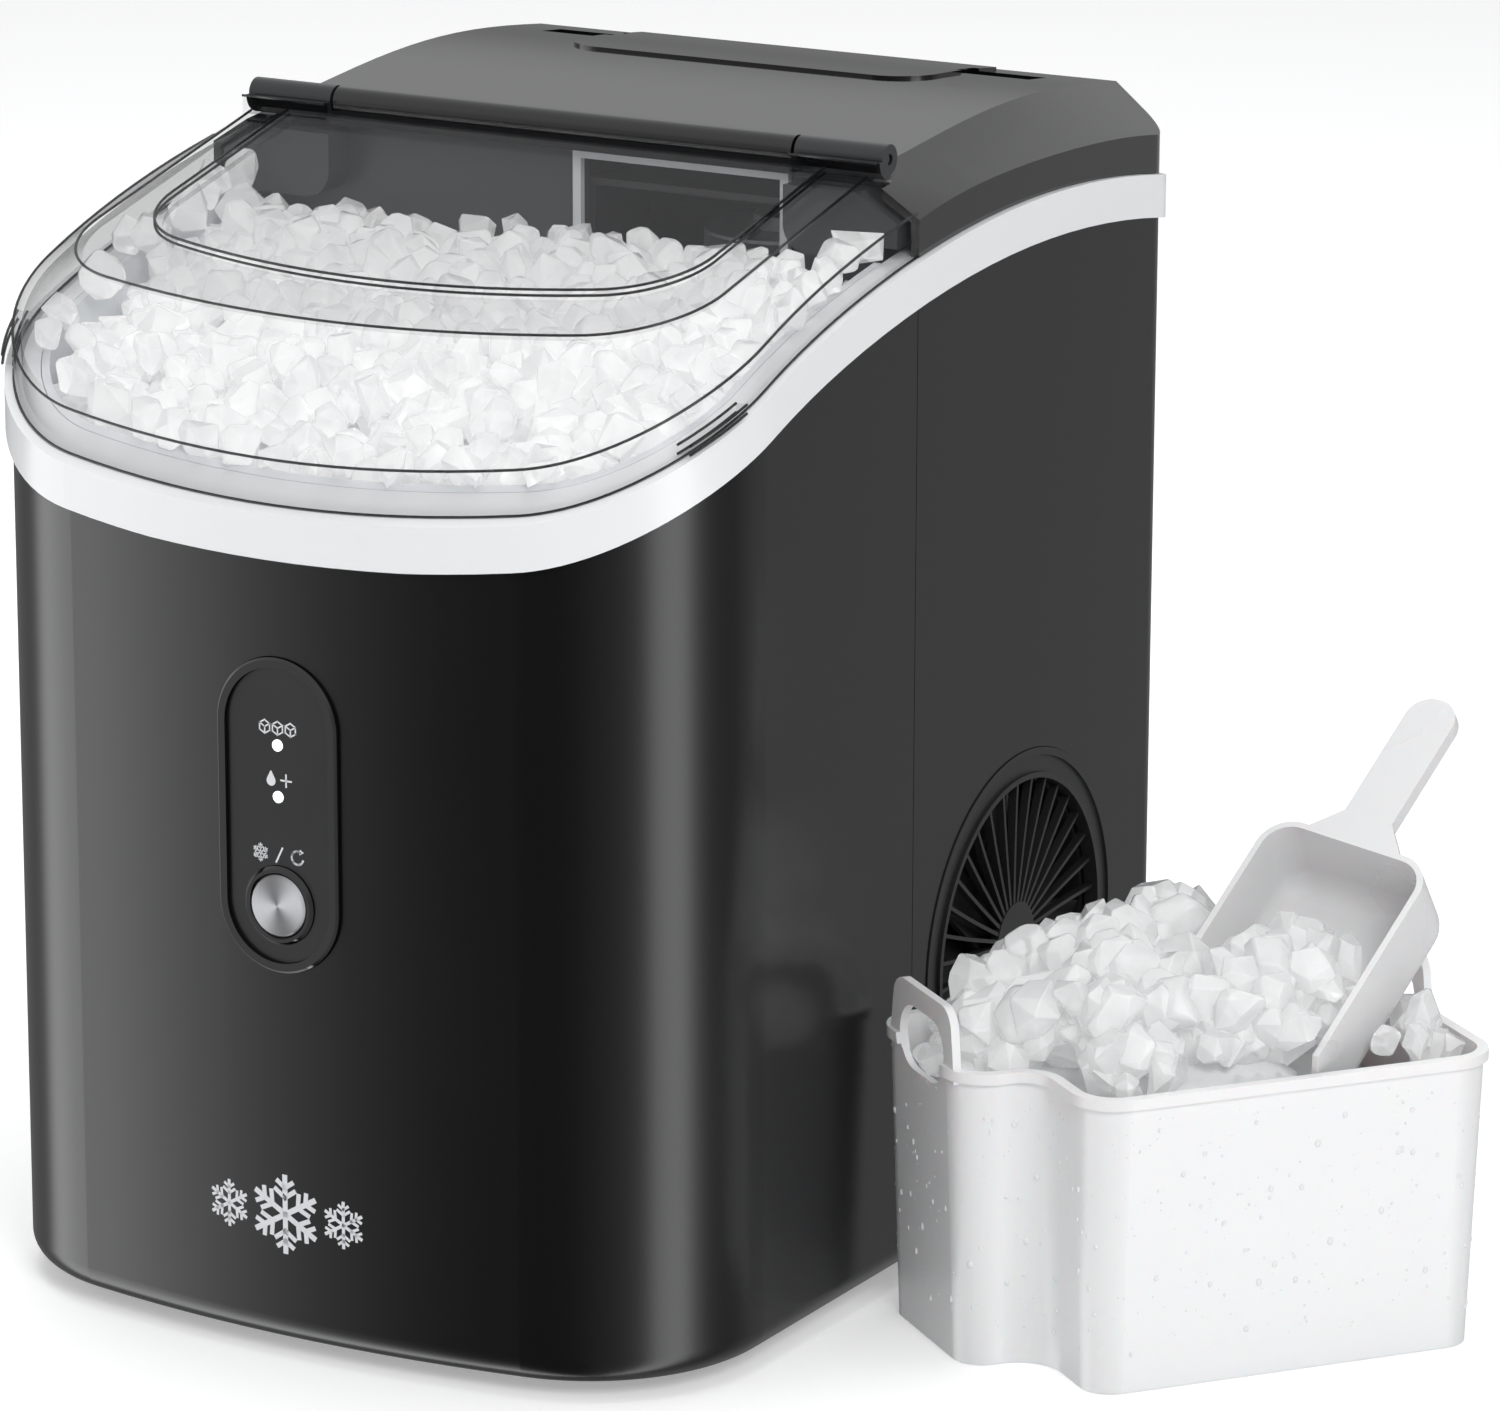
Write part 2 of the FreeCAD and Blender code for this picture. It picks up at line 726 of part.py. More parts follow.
def lid():
    rear = size.seam_place - size.seam_gap
    drop = size.lid_wall
    outer = lid_lump(0, 0, rear).fuse(lid_step(0, 0, rear))
    inner = lid_lump(size.lid_wall, drop, rear + 10).fuse(lid_step(size.lid_wall, drop, rear + 10))
    shell = outer.cut(inner).cut(under_rim(size.seam_gap))
    pieces = []
    tools = []
    radius = size.barrel_radius
    long = size.barrel_outer - size.barrel_inner
    foot = lid_top_height(rear) - size.lid_wall
    for side in (-1, 1):
        start = size.barrel_inner if side > 0 else -size.barrel_outer
        axis = point(start, size.hinge_place, size.hinge_tall)
        pieces.append(Part.makeCylinder(radius, long, axis, ALONG_X))
        strap = Part.makeBox(
            long,
            size.hinge_place - rear + 2,
            size.hinge_tall - foot - 0.2,
            point(start, rear - 2, foot + 0.2),
        )
        pieces.append(strap)
        tools.append(
            Part.makeCylinder(size.pin_radius + size.pin_clear, long + 2, axis - ALONG_X, ALONG_X)
        )
        tab = lid_tab(side)
        pieces.append(tab)
    shell = shell.multiFuse(pieces).cut(Part.makeCompound(tools))
    node("lid", solid(shell))
    pins = []
    pin_long = size.barrel_outer - size.barrel_inner + 11.5
    for side in (-1, 1):
        start = size.barrel_inner - 12 if side > 0 else -size.barrel_outer + 0.5
        pins.append(
            Part.makeCylinder(
                size.pin_radius,
                pin_long,
                point(start, size.hinge_place, size.hinge_tall),
                ALONG_X,
            )
        )
    node("hinge_pins", solid(Part.makeCompound(pins)))


def lid_tab(side):
    """A finger ledge on the lid skirt, round the back of a front corner."""
    ring = prism(casing_outline(-TAB_REACH), 400).cut(prism(casing_outline(size.lid_inset + 1), 400))
    span = Part.makeBox(
        200, TAB_REAR - TAB_FRONT, 400, point(0 if side > 0 else -200, TAB_FRONT, 0)
    )
    band = under_rim(TAB_TALL + 2.4).cut(under_rim(TAB_TALL))
    return ring.common(span).common(band)


# ---------------------------------------------------------------- bin
def inner_bin():
    gap = size.trim_wide + size.fit_gap
    outer = prism(front_outline(gap, size.bin_rear, size.bin_floor), 200)
    inner = prism(
        front_outline(gap + size.bin_wall, size.bin_rear - size.bin_wall, size.bin_floor + size.bin_wall), 200
    )
    bin_shape = outer.cut(inner).common(under_rim(0))
    clear = Part.makeBox(
        2 * size.body_wide,
        30,
        200,
        point(-size.body_wide, -size.bin_wall - 8, size.wall_start),
    )
    drain = Part.makeCylinder(3, 20, point(0, -60, size.bin_floor - 5))
    spout = Part.makeCylinder(5, 8, point(0, -60, size.bin_floor - 8))
    node("inner_bin", solid(bin_shape.cut(clear).fuse(spout).cut(drain)))


GUSSET_INNER = 74.0
GUSSET_FRONT = -6.5
GUSSET_TOP = 308.6


def bin_rear_wall():
    """The dark wall behind the ice, with a block under each rear corner of the lid."""
    front = size.bin_rear - size.wall + 0.1
    inner_half = size.body_wide / 2 - size.trim_wide - size.bin_wall - 2 * size.fit_gap - 0.5
    outer_half = size.body_wide / 2 - size.wall - 1.4
    shelf = rim_height(size.bin_rear) + 0.8
    low = size.wall_start + size.fit_gap
    outline = [
        (-inner_half, low),
        (inner_half, low),
        (inner_half, shelf),
        (outer_half, shelf),
        (outer_half, shelf + 6),
        (95, size.wall_top),
        (-95, size.wall_top),
        (-outer_half, shelf + 6),
        (-outer_half, shelf),
        (-inner_half, shelf),
    ]
    corners = [point(x, front, z) for x, z in outline]
    plate = Part.Face(Part.makePolygon(corners + corners[:1])).extrude(ALONG_Y * size.wall)
    blocks = []
    for side in (-1, 1):
        profile = [
            (GUSSET_INNER, 298),
            (GUSSET_INNER, GUSSET_TOP),
            (97, GUSSET_TOP),
            (outer_half - 1.5, shelf + 7),
            (outer_half - 1.5, shelf),
            (inner_half, shelf),
            (inner_half, 290),
            (GUSSET_INNER + 8, 290),
        ]
        points = [point(side * x, GUSSET_FRONT, z) for x, z in profile]
        arc = Part.Arc(
            points[7],
            point(side * (GUSSET_INNER + 8 * 0.29), GUSSET_FRONT, 290 + 8 * 0.29),
            points[0],
        )
        edges = [Part.makeLine(points[i], points[i + 1]) for i in range(7)]
        wire = Part.Wire(edges + [arc.toShape()])
        blocks.append(Part.Face(wire).extrude(ALONG_Y * (front - GUSSET_FRONT)))
    bar = size.outlet_bar
    opening = Part.makeBox(
        2 * (size.outlet_half - bar),
        30,
        size.outlet_top - size.outlet_low - 2 * bar,
        point(
            size.outlet_middle - size.outlet_half + bar, -10, size.outlet_low + bar
        ),
    )
    node("bin_rear_wall", solid(plate.multiFuse(blocks).cut(opening)))


def outlet_frame():
    front = size.bin_rear - size.wall + 0.1
    bar = size.outlet_bar
    outer = box(
        "2 * outlet_half", 2, "outlet_top - outlet_low",
        "outlet_middle - outlet_half", front - 2, "outlet_low",
    )
    hole = box(
        "2 * (outlet_half - outlet_bar)", 6, "outlet_top - outlet_low - 2 * outlet_bar",
        "outlet_middle - outlet_half + outlet_bar", front - 4, "outlet_low + outlet_bar",
    )
    node("outlet_frame", less(outer, hole))


def outlet_chute():
    """The duct that brings the ice from the extruder head to the outlet."""
    start = "bin_rear + 0.1"
    long = "barrel_place - 26 - bin_rear"
    outer = box(
        "2 * (outlet_half - outlet_bar)", long, "outlet_top - outlet_low - 2 * outlet_bar - 6",
        "outlet_middle - outlet_half + outlet_bar", start, "outlet_low + outlet_bar",
    )
    hole = box(
        "2 * (outlet_half - outlet_bar) - 4", "barrel_place", "outlet_top - outlet_low - 2 * outlet_bar - 10",
        "outlet_middle - outlet_half + outlet_bar + 2", "bin_rear - 5", "outlet_low + outlet_bar + 2",
    )
    node("outlet_chute", less(outer, hole))


# ---------------------------------------------------------------- control panel
FACE_PROUD = 1.3
BEZEL_DEEP = 6.2
BUTTON_SEAT = 4.6


def control_panel():
    front = -size.body_deep / 2
    face = front - FACE_PROUD
    back = front + BEZEL_DEEP
    wide = size.panel_wide
    tall = size.panel_tall
    rim = size.panel_rim
    ring = capsule(wide, tall, back - face, face, size.panel_middle)
    edges = [e for e in ring.Edges if e.BoundBox.YMax < face + 1e-6]
    ring = ring.makeChamfer(0.6, edges)
    hole = capsule(wide - 2 * rim, tall - 2 * rim, 30, face - 5, size.panel_middle)
    node("control_bezel", solid(ring.cut(hole)))

    fascia_front = front - 0.2
    gap = size.fit_gap
    plate = capsule(
        wide - 2 * rim - gap, tall - 2 * rim - gap, 3.0, fascia_front, size.panel_middle
    )
    tools = [
        Part.makeCylinder(size.lens_radius, 10, point(0, front - 4, z), ALONG_Y)
        for z in (size.lens_high, size.lens_low)
    ]
    button_hole = size.button_radius + 2.3
    tools.append(Part.makeCylinder(button_hole, 10, point(0, front - 4, size.button_tall), ALONG_Y))
    node("control_fascia", solid(plate.cut(Part.makeCompound(tools))))

    lenses = [
        rod("lens_radius", back - fascia_front + 0.3, 0, fascia_front - 0.3, z, "y")
        for z in ("lens_high", "lens_low")
    ]
    node("indicator_lenses", group(*lenses))

    collar = turned_body(
        [
            ("button_radius + 0.15", 0),
            ("button_radius + 2.2", 0),
            ("button_radius + 2.2", 3.4),
            ("button_radius + 1.4", 4.2),
            ("button_radius + 0.5", 4.2),
            ("button_radius + 0.15", 3.8),
        ]
    )
    collar.Placement = FreeCAD.Placement(ORIGIN, FreeCAD.Rotation(ALONG_X, 90))
    place(collar, 0, fascia_front + 3.0, "button_tall")
    node("button_collar", collar)

    stem = 3.2
    button = turned_body(
        [
            (0, 0),
            (stem, 0),
            (stem, 1.0),
            ("button_radius", 1.0),
            ("button_radius", 5.5),
            ("button_radius - 0.6", 6.1),
            (0, 6.1),
        ]
    )
    button.Placement = FreeCAD.Placement(ORIGIN, FreeCAD.Rotation(ALONG_X, 90))
    place(button, 0, fascia_front + BUTTON_SEAT, "button_tall")
    node("start_button", button)

    board = box(30, 1.6, 74, -15, back, "panel_middle - 37")
    switch_low = front + BEZEL_DEEP
    switch_deep = switch_low - (fascia_front + BUTTON_SEAT) - size.button_travel - 0.1
    switch = box(6, switch_deep, 6, -3, switch_low - switch_deep, "button_tall - 3")
    node("control_board", join(board, switch))


# ---------------------------------------------------------------- fan and condenser
SHROUD_LOW = 94.0
BLADE_COUNT = 7
RIB_COUNT = 34
RIB_SWEEP = -0.1
RIB_THICK = 1.1
RIB_DEEP = 2.4
GRILLE_HUB = 11.0


def swirl_rib(start_turn, x):
    """One curved rib of the grille, in the YZ plane about the fan axis."""
    inner = GRILLE_HUB - 0.8
    outer = size.grille_ring + 0.6
    line = []
    for i in range(5):
        share = i / 4
        radius = inner + (outer - inner) * share
        angle = start_turn + RIB_SWEEP * math.sqrt(share)
        line.append((radius, angle))
    side_a = []
    side_b = []
    for radius, angle in line:
        turn = RIB_THICK / 2 / radius
        for side, store in ((-1, side_a), (1, side_b)):
            along = size.fan_place + radius * math.cos(angle + side * turn)
            tall = size.fan_tall + radius * math.sin(angle + side * turn)
            store.append(point(x, along, tall))
    first = Part.BSplineCurve()
    first.interpolate(side_a)
    second = Part.BSplineCurve()
    second.interpolate(side_b)
    wire = Part.Wire(
        [
            first.toShape(),
            Part.makeLine(side_a[-1], side_b[-1]),
            second.toShape(),
            Part.makeLine(side_b[0], side_a[0]),
        ]
    )
    return Part.Face(wire).extrude(ALONG_X * RIB_DEEP)


def fan_grille():
    centre = point(size.body_wide / 2 - size.wall - 1.5, size.fan_place, size.fan_tall)
    deep = size.wall + 1.9
    ring = Part.makeCylinder(size.grille_radius - size.fit_gap, deep, centre, ALONG_X)
    ring = ring.cut(Part.makeCylinder(size.grille_ring, 20, centre - ALONG_X * 5, ALONG_X))
    ring_face = centre + ALONG_X * (deep - 0.9)
    dish = Part.makeCylinder(size.grille_radius - 2.4, 5, ring_face, ALONG_X)
    ring = ring.cut(dish.cut(Part.makeCylinder(size.grille_ring + 1.6, 5, ring_face, ALONG_X)))
    hub = Part.makeCylinder(GRILLE_HUB, RIB_DEEP + 0.2, centre, ALONG_X)
    ribs = [swirl_rib(i * 2 * math.pi / RIB_COUNT, centre.x) for i in range(RIB_COUNT)]
    node("fan_grille", solid(ring.multiFuse([hub] + ribs)))


def fan_unit():
    deep = 16.0
    shroud = box(
        deep, "2 * shroud_half", "2 * shroud_half",
        SHROUD_LOW, "fan_place - shroud_half", "fan_tall - shroud_half",
    )
    bore = rod("fan_radius + 2", deep + 4, SHROUD_LOW - 2, "fan_place", "fan_tall", "x")
    arm_long = "2 * fan_radius + 6"
    arm_a = box(3, arm_long, 5, SHROUD_LOW, "fan_place - fan_radius - 3", "fan_tall - 2.5")
    arm_b = box(3, 5, arm_long, SHROUD_LOW, "fan_place - 2.5", "fan_tall - fan_radius - 3")
    seat = rod(15, 3, SHROUD_LOW, "fan_place", "fan_tall", "x")
    tube = less(shroud, bore)
    skids = [
        box(deep, 8, "fan_tall - shroud_half - foot_tall - wall - 2.5", SHROUD_LOW - 6, y,
            "foot_tall + wall + 2.5")
        for y in ("fan_place - 40", "fan_place + 32")
    ]
    node("fan_shroud", join(tube, arm_a, arm_b, seat, *skids))
    can = rod(14, 5, SHROUD_LOW + 3, "fan_place", "fan_tall", "x")
    shaft = rod(1.5, 7, SHROUD_LOW + 8, "fan_place", "fan_tall", "x")
    node("fan_motor", join(can, shaft))
    node("fan_rotor", solid(fan_rotor()))


def fan_rotor():
    """Hub and pitched blades on the fan motor's shaft."""
    start = SHROUD_LOW + 8.3
    deep = 6.0
    centre = point(start, size.fan_place, size.fan_tall)
    hub = Part.makeCylinder(15, deep, centre, ALONG_X)
    blades = []
    for i in range(BLADE_COUNT):
        blade = Part.makeBox(1.4, 22, size.fan_radius - 13, point(-0.7, -11, 13))
        blade.rotate(ORIGIN, UP, 24)
        tip = Part.makeCylinder(size.fan_radius, 40, point(-20, 0, 0), ALONG_X)
        blade = blade.common(tip)
        blade.rotate(ORIGIN, ALONG_X, i * 360 / BLADE_COUNT)
        blade.translate(point(start + deep / 2, size.fan_place, size.fan_tall))
        blades.append(blade)
    bore = Part.makeCylinder(size.pin_radius + size.pin_clear, 30, centre - ALONG_X * 5, ALONG_X)
    return hub.multiFuse(blades).cut(bore)


def condenser_coil():
    """Finned block of tubes behind the fan."""
    low_x = SHROUD_LOW - 26.0
    wide = 25.8
    start = size.fan_place - 48
    foot = size.fan_tall - 48
    fins = [
        Part.makeBox(wide, 1.2, 96, point(low_x, start + 6 * i, foot)) for i in range(17)
    ]
    tubes = []
    for level in range(7):
        for column in range(2):
            tubes.append(
                Part.makeCylinder(
                    3, 96, point(low_x + 7 + 12 * column, start, foot + 6 + 14 * level), ALONG_Y
                )
            )
    tray = Part.makeBox(wide, 96, 2, point(low_x, start, foot))
    low = size.foot_tall + size.wall + 2.5
    legs = [
        Part.makeBox(8, 8, foot - low, point(low_x + 2, y, low)) for y in (start + 4, start + 84)
    ]
    node("condenser_coil", solid(fins[0].multiFuse(fins[1:] + tubes + [tray] + legs)))


# ---------------------------------------------------------------- compressor
COMPRESSOR_PLACE = "body_deep / 2 - compressor_back"


def compressor_place():
    return size.body_deep / 2 - size.compressor_back


def compressor():
    pan_top = "foot_tall + wall + 2.5"
    grommet_tall = 7
    feet = []
    plates = []
    reach = size.compressor_radius + 4
    for i in range(3):
        angle = math.radians(90 + 120 * i)
        across = size.compressor_across + reach * math.cos(angle)
        along = compressor_place() + reach * math.sin(angle)
        feet.append(rod(7, grommet_tall, across, along, pan_top))
        plates.append(rod(10, 3, across, along, f"{pan_top} + {grommet_tall}"))
    node("compressor_grommets", group(*feet))
    base = f"{pan_top} + {grommet_tall}"
    can = turned_body(
        [
            (0, f"{base}"),
            ("compressor_radius - 6", f"{base}"),
            ("compressor_radius", f"{base} + 8"),
            ("compressor_radius", "compressor_top - 34"),
            ("compressor_radius - 3", "compressor_top - 16"),
            ("compressor_radius - 14", "compressor_top - 4"),
            ("compressor_radius - 28", "compressor_top"),
            (0, "compressor_top"),
        ]
    )
    place(can, "compressor_across", COMPRESSOR_PLACE, 0)
    plate = rod("compressor_radius + 2", 3, "compressor_across", COMPRESSOR_PLACE, base)
    node("compressor", join(can, plate, *plates))
    cover = box(
        14, 34, 40,
        "compressor_across - 17", f"{COMPRESSOR_PLACE} + compressor_radius - 1", "compressor_top - 74",
    )
    trimmed = less(
        cover,
        rod("compressor_radius + 0.1", 200, "compressor_across", COMPRESSOR_PLACE, 0),
        box(60, 60, 200, "compressor_across - 30", "body_deep / 2 - wall - 1.5", 0),
    )
    node("compressor_terminal_cover", trimmed)


def bent_tube(places, radius, bend):
    """A tube along straight runs joined by tangent arcs."""
    edges = []
    last = places[0]
    for i in range(1, len(places) - 1):
        before = (places[i - 1] - places[i]).normalize()
        after = (places[i + 1] - places[i]).normalize()
        half = before.getAngle(after) / 2
        back = bend / math.tan(half)
        start = places[i] + before * back
        end = places[i] + after * back
        towards = (before + after).normalize()
        middle = places[i] + towards * (bend / math.sin(half) - bend)
        edges.append(Part.makeLine(last, start))
        edges.append(Part.Arc(start, middle, end).toShape())
        last = end
    edges.append(Part.makeLine(last, places[-1]))
    path = Part.Wire(edges)
    along = (places[1] - places[0]).normalize()
    circle = Part.Wire(Part.makeCircle(radius, places[0], along))
    return path.makePipeShell([circle], True, False)


def refrigerant_lines():
    top = size.compressor_top
    x = size.compressor_across
    y = compressor_place()
    coil_face = SHROUD_LOW - 26.0
    drier_y = size.fan_place + 44
    discharge = [
        point(x + 10, y, top),
        point(x + 10, y, top + 10),
        point(coil_face - 18, y, top + 10),
        point(coil_face - 18, y, size.fan_tall + 23),
        point(coil_face, y, size.fan_tall + 23),
    ]
    node("discharge_tube", solid(bent_tube(discharge, 2.4, 7)))
    drier_x = coil_face - 20
    drier_low = size.foot_tall + size.wall + 2.5
    body = turned_body(
        [(0, 0), (4, 0), (9, 6), (9, 62), (4, 68), (0, 68)]
    )
    place(body, drier_x, drier_y, drier_low)
    node("filter_drier", body)
    bend = point(x - 12, y, top + 96)
    barrel = point(size.outlet_middle, size.barrel_place, top + 96)
    towards = (barrel - bend).normalize()
    suction = [point(x - 12, y, top), bend, barrel - towards * (size.freezer_radius + 9)]
    node("suction_tube", solid(bent_tube(suction, 3, 8)))


# ---------------------------------------------------------------- freezing barrel
def freezing_unit():
    x = "outlet_middle"
    y = "barrel_place"
    deck = "freezer_foot - 36"
    plate = box(64, 84, 3, "outlet_middle - 34", "barrel_place - 42", f"{deck} - 3")
    pan_top = "foot_tall + wall + 2.5"
    legs = [
        rod(3.5, f"freezer_foot - 39 - ({pan_top})", across, along, pan_top)
        for across in ("outlet_middle - 28", "outlet_middle + 24")
        for along in ("barrel_place - 36", "barrel_place + 36")
    ]
    node("machine_bracket", join(plate, *legs))
    case = box(56, 56, 28, "outlet_middle - 28", "barrel_place - 28", deck)
    neck = rod(16, 8, x, y, "freezer_foot - 8")
    motor = rod(14, 30, "outlet_middle - 14", "barrel_place + 28", "freezer_foot - 21", "y")
    shaft_hole = rod("4 + pin_clear", 30, x, y, "freezer_foot - 22")
    node("gearmotor", less(join(case, neck, motor), shaft_hole))
    barrel = rod("freezer_radius", "freezer_top - freezer_foot", x, y, "freezer_foot")
    barrel_hole = rod("bore_radius", "freezer_top", x, y, "freezer_foot + 4")
    low_hole = rod("4 + pin_clear", "20", x, y, "freezer_foot - 5")
    node("freezing_barrel", less(barrel, barrel_hole, low_hole))
    jacket = rod("freezer_radius + 9", "freezer_top - freezer_foot - 6", x, y, "freezer_foot + 1")
    jacket_hole = rod("freezer_radius", "freezer_top", x, y, "freezer_foot - 1")
    node("barrel_insulation", less(jacket, jacket_hole))
    node("auger", solid(auger()))
    head = rod("freezer_radius + 4", 14, x, y, "freezer_top")
    head_hole = rod("bore_radius", 10, x, y, "freezer_top - 1")
    slot = box(30, 40, 12, "outlet_middle - 15", "barrel_place - 44", "freezer_top + 1")
    cap = rod(10, 4, x, y, "freezer_top + 14")
    bearing = rod("4 + pin_clear", 12, x, y, "freezer_top + 2")
    node("extruder_head", less(join(head, cap), head_hole, slot, bearing))


def auger():
    """A shaft with one screw thread, standing in the freezing barrel."""
    foot = size.freezer_foot - 20
    axis = point(size.outlet_middle, size.barrel_place, foot)
    shaft = Part.makeCylinder(4, size.freezer_top + 13 - foot, axis)
    core = Part.makeCylinder(7, size.freezer_top - size.freezer_foot - 10, axis + UP * 26)
    pitch = 18.0
    turns = 4.4
    flight_low = size.freezer_foot + 8
    helix = Part.makeHelix(pitch, pitch * turns, 6.0)
    profile = Part.makePolygon(
        [
            point(6, 0, -2.2),
            point(size.auger_radius, 0, -1.0),
            point(size.auger_radius, 0, 1.0),
            point(6, 0, 2.2),
            point(6, 0, -2.2),
        ]
    )
    flight = Part.Wire(helix).makePipeShell([profile], True, True)
    flight.translate(point(size.outlet_middle, size.barrel_place, flight_low))
    return shaft.multiFuse([core, flight])


# ---------------------------------------------------------------- water side
def water_unit():
    low = size.foot_tall + size.wall + 5.7
    half = 92.0
    front = -118.0
    rear = size.tank_rear - 40
    tall = size.tank_tall
    outer = bowed_outline(half, front, 380, 34, rear, 0, low)
    inner = bowed_outline(half - 2, front + 2, 378, 32, rear - 2, 0, low + 2)
    shell = prism(outer, tall).cut(prism(inner, tall))
    node("water_tank", solid(shell))
    lid_wire = bowed_outline(half, front, 380, 34, rear, 0, low + tall)
    lid_plate = prism(lid_wire, 2.5)
    inlet = Part.makeCylinder(7, 10, point(0, -60, low + tall - 3))
    stem_x = -50.0
    stem_hole = Part.makeCylinder(3, 10, point(stem_x, -70, low + tall - 3))
    node("tank_lid", solid(lid_plate.cut(Part.makeCompound([inlet, stem_hole]))))
    stem_low = low + 40
    stem = Part.makeCylinder(3, low + tall + 2.5 - stem_low, point(stem_x, -70, stem_low))
    stop = Part.makeCylinder(6, 2, point(stem_x, -70, stem_low))
    float_low = stem_low + 2.3
    float_deep = 16.0
    stop_low = float_low + float_deep + size.float_travel + 0.3
    top_stop = Part.makeCylinder(6, 2, point(stem_x, -70, stop_low))
    node("float_stem", solid(stem.multiFuse([stop, top_stop])))
    ring = Part.makeCylinder(11, float_deep, point(stem_x, -70, float_low))
    ring = ring.cut(Part.makeCylinder(3.1, 40, point(stem_x, -70, float_low - 5)))
    node("level_float", solid(ring))
    pan_top = size.foot_tall + size.wall + 2.5
    pump_x = 34.0
    pump_y = size.bin_rear + 8
    pump = Part.makeCylinder(15, 34, point(pump_x, pump_y, pan_top + 4))
    foot_plate = Part.makeCylinder(18, 4, point(pump_x, pump_y, pan_top))
    nozzle = Part.makeCylinder(4, pump_y - rear - 10, point(pump_x, rear, pan_top + 14), ALONG_Y)
    node("water_pump", solid(pump.multiFuse([foot_plate, nozzle])))
    feed = [
        point(pump_x, pump_y, pan_top + 38),
        point(pump_x, pump_y, size.freezer_foot + 30),
        point(pump_x, size.barrel_place - size.freezer_radius - 9, size.freezer_foot + 30),
    ]
    node("feed_hose", solid(bent_tube(feed, 3.5, 12)))
    spout_low = low + tall - 12
    hose = Part.makeCylinder(5, size.bin_floor - 8 - spout_low, point(0, -60, spout_low))
    hose = hose.cut(Part.makeCylinder(3, 100, point(0, -60, spout_low - 5)))
    node("bin_drain_hose", solid(hose))


def electrics():
    half = size.body_wide / 2
    board = box(1.8, 88, 78, -half + 10, 26, 168)
    relay = box(14, 24, 18, -half + 11.8, 34, 178)
    filter_can = box(20, 30, 24, -half + 11.8, 70, 208)
    posts = [
        rod(2.5, 7.5, -half + 2.5, along, tall, "x")
        for along in (32, 108)
        for tall in (174, 240)
    ]
    node("main_board", join(board, relay, filter_can, *posts))
    rear = size.body_deep / 2
    inside = rod(GLAND_RADIUS + 3, 6, GLAND_ACROSS, rear - size.wall - 6, GLAND_TALL, "y")
    barrel = rod(GLAND_RADIUS - 0.2, 3.5 + size.wall, GLAND_ACROSS, rear - size.wall, GLAND_TALL, "y")
    hole = rod(3.6, 40, GLAND_ACROSS, rear - 20, GLAND_TALL, "y")
    node("cord_gland", less(join(inside, barrel), hole))
    spout = rod(DRAIN_RADIUS + 3, 5, DRAIN_ACROSS, rear - size.wall - 5, DRAIN_TALL, "y")
    neck = rod(DRAIN_RADIUS - 0.2, 1.6 + size.wall, DRAIN_ACROSS, rear - size.wall, DRAIN_TALL, "y")
    bore = rod(4.5, 40, DRAIN_ACROSS, rear - 24, DRAIN_TALL, "y")
    node("drain_spout", less(join(spout, neck), bore))
    plug = turned_body(
        [(0, 0), (4.4, 0), (4.4, 8), (8, 8), (8, 10.5), (6, 11.5), (0, 11.5)]
    )
    plug.Placement = FreeCAD.Placement(ORIGIN, FreeCAD.Rotation(ALONG_X, -90))
    place(plug, DRAIN_ACROSS, rear + 1.9 - 8, DRAIN_TALL)
    node("drain_plug", plug)
    sensor = box(10, 6, 5, "outlet_middle - 5", "bin_rear - wall - 5.9", "outlet_low - 5.2")
    node("ice_level_sensor", sensor)


SCREW_PLACES = [(-84.0, 34.0), (84.0, 34.0), (-84.0, 250.0), (84.0, 250.0), (0.0, 250.0)]


def rear_screws():
    rear = size.body_deep / 2
    screws = []
    for across, tall in SCREW_PLACES:
        screws.append(
            turned_body([(0, 0), (3.6, 0), (3.6, 0.8), (2.4, 2), (0, 2)])
        )
        screws[-1].Placement = FreeCAD.Placement(ORIGIN, FreeCAD.Rotation(ALONG_X, -90))
        place(screws[-1], across, rear, tall)
    node("rear_screws", group(*screws))


# ---------------------------------------------------------------- basket and scoop
def basket_frame():
    """Where the basket stands on the counter."""
    turn = FreeCAD.Rotation(UP, size.basket_turn)
    return FreeCAD.Placement(point(size.basket_across, size.basket_place), turn)


def stepped_outline(inset, z):
    """The basket's plan: a rounded rectangle with one corner stepped back."""
    half = size.basket_wide / 2 - inset
    deep = size.basket_deep / 2 - inset
    step_x = -size.basket_wide / 2 + size.notch_wide + inset
    step_y = -size.basket_deep / 2 + size.notch_deep + inset
    corners = [
        (step_x, -deep),
        (half, -deep),
        (half, deep),
        (-half, deep),
        (-half, step_y),
        (step_x, step_y),
    ]
    wire = Part.makePolygon([point(a, b) for a, b in corners + corners[:1]])
    upright = Part.Face(wire).extrude(UP * 10)
    radius = size.basket_corner
    outside = max(radius - inset, 1)
    inside = 0.4 * size.notch_wide + inset
    for corner in corners:
        edges = [
            e
            for e in upright.Edges
            if abs(e.BoundBox.XMin - corner[0]) < 0.01
            and abs(e.BoundBox.YMin - corner[1]) < 0.01
            and e.BoundBox.ZLength > 9
        ]
        reach = outside
        if corner == corners[5]:
            reach = inside
        elif corner in (corners[0], corners[4]):
            reach = max(min(radius, 0.5 * size.notch_wide) - inset, 1)
        upright = upright.makeFillet(reach, edges)
    foot = [f for f in upright.Faces if f.BoundBox.ZMax < 0.01]
    outline = foot[0].OuterWire
    outline.translate(UP * z)
    return outline


HANDLE_FROM = -6.0
HANDLE_TO = 36.0


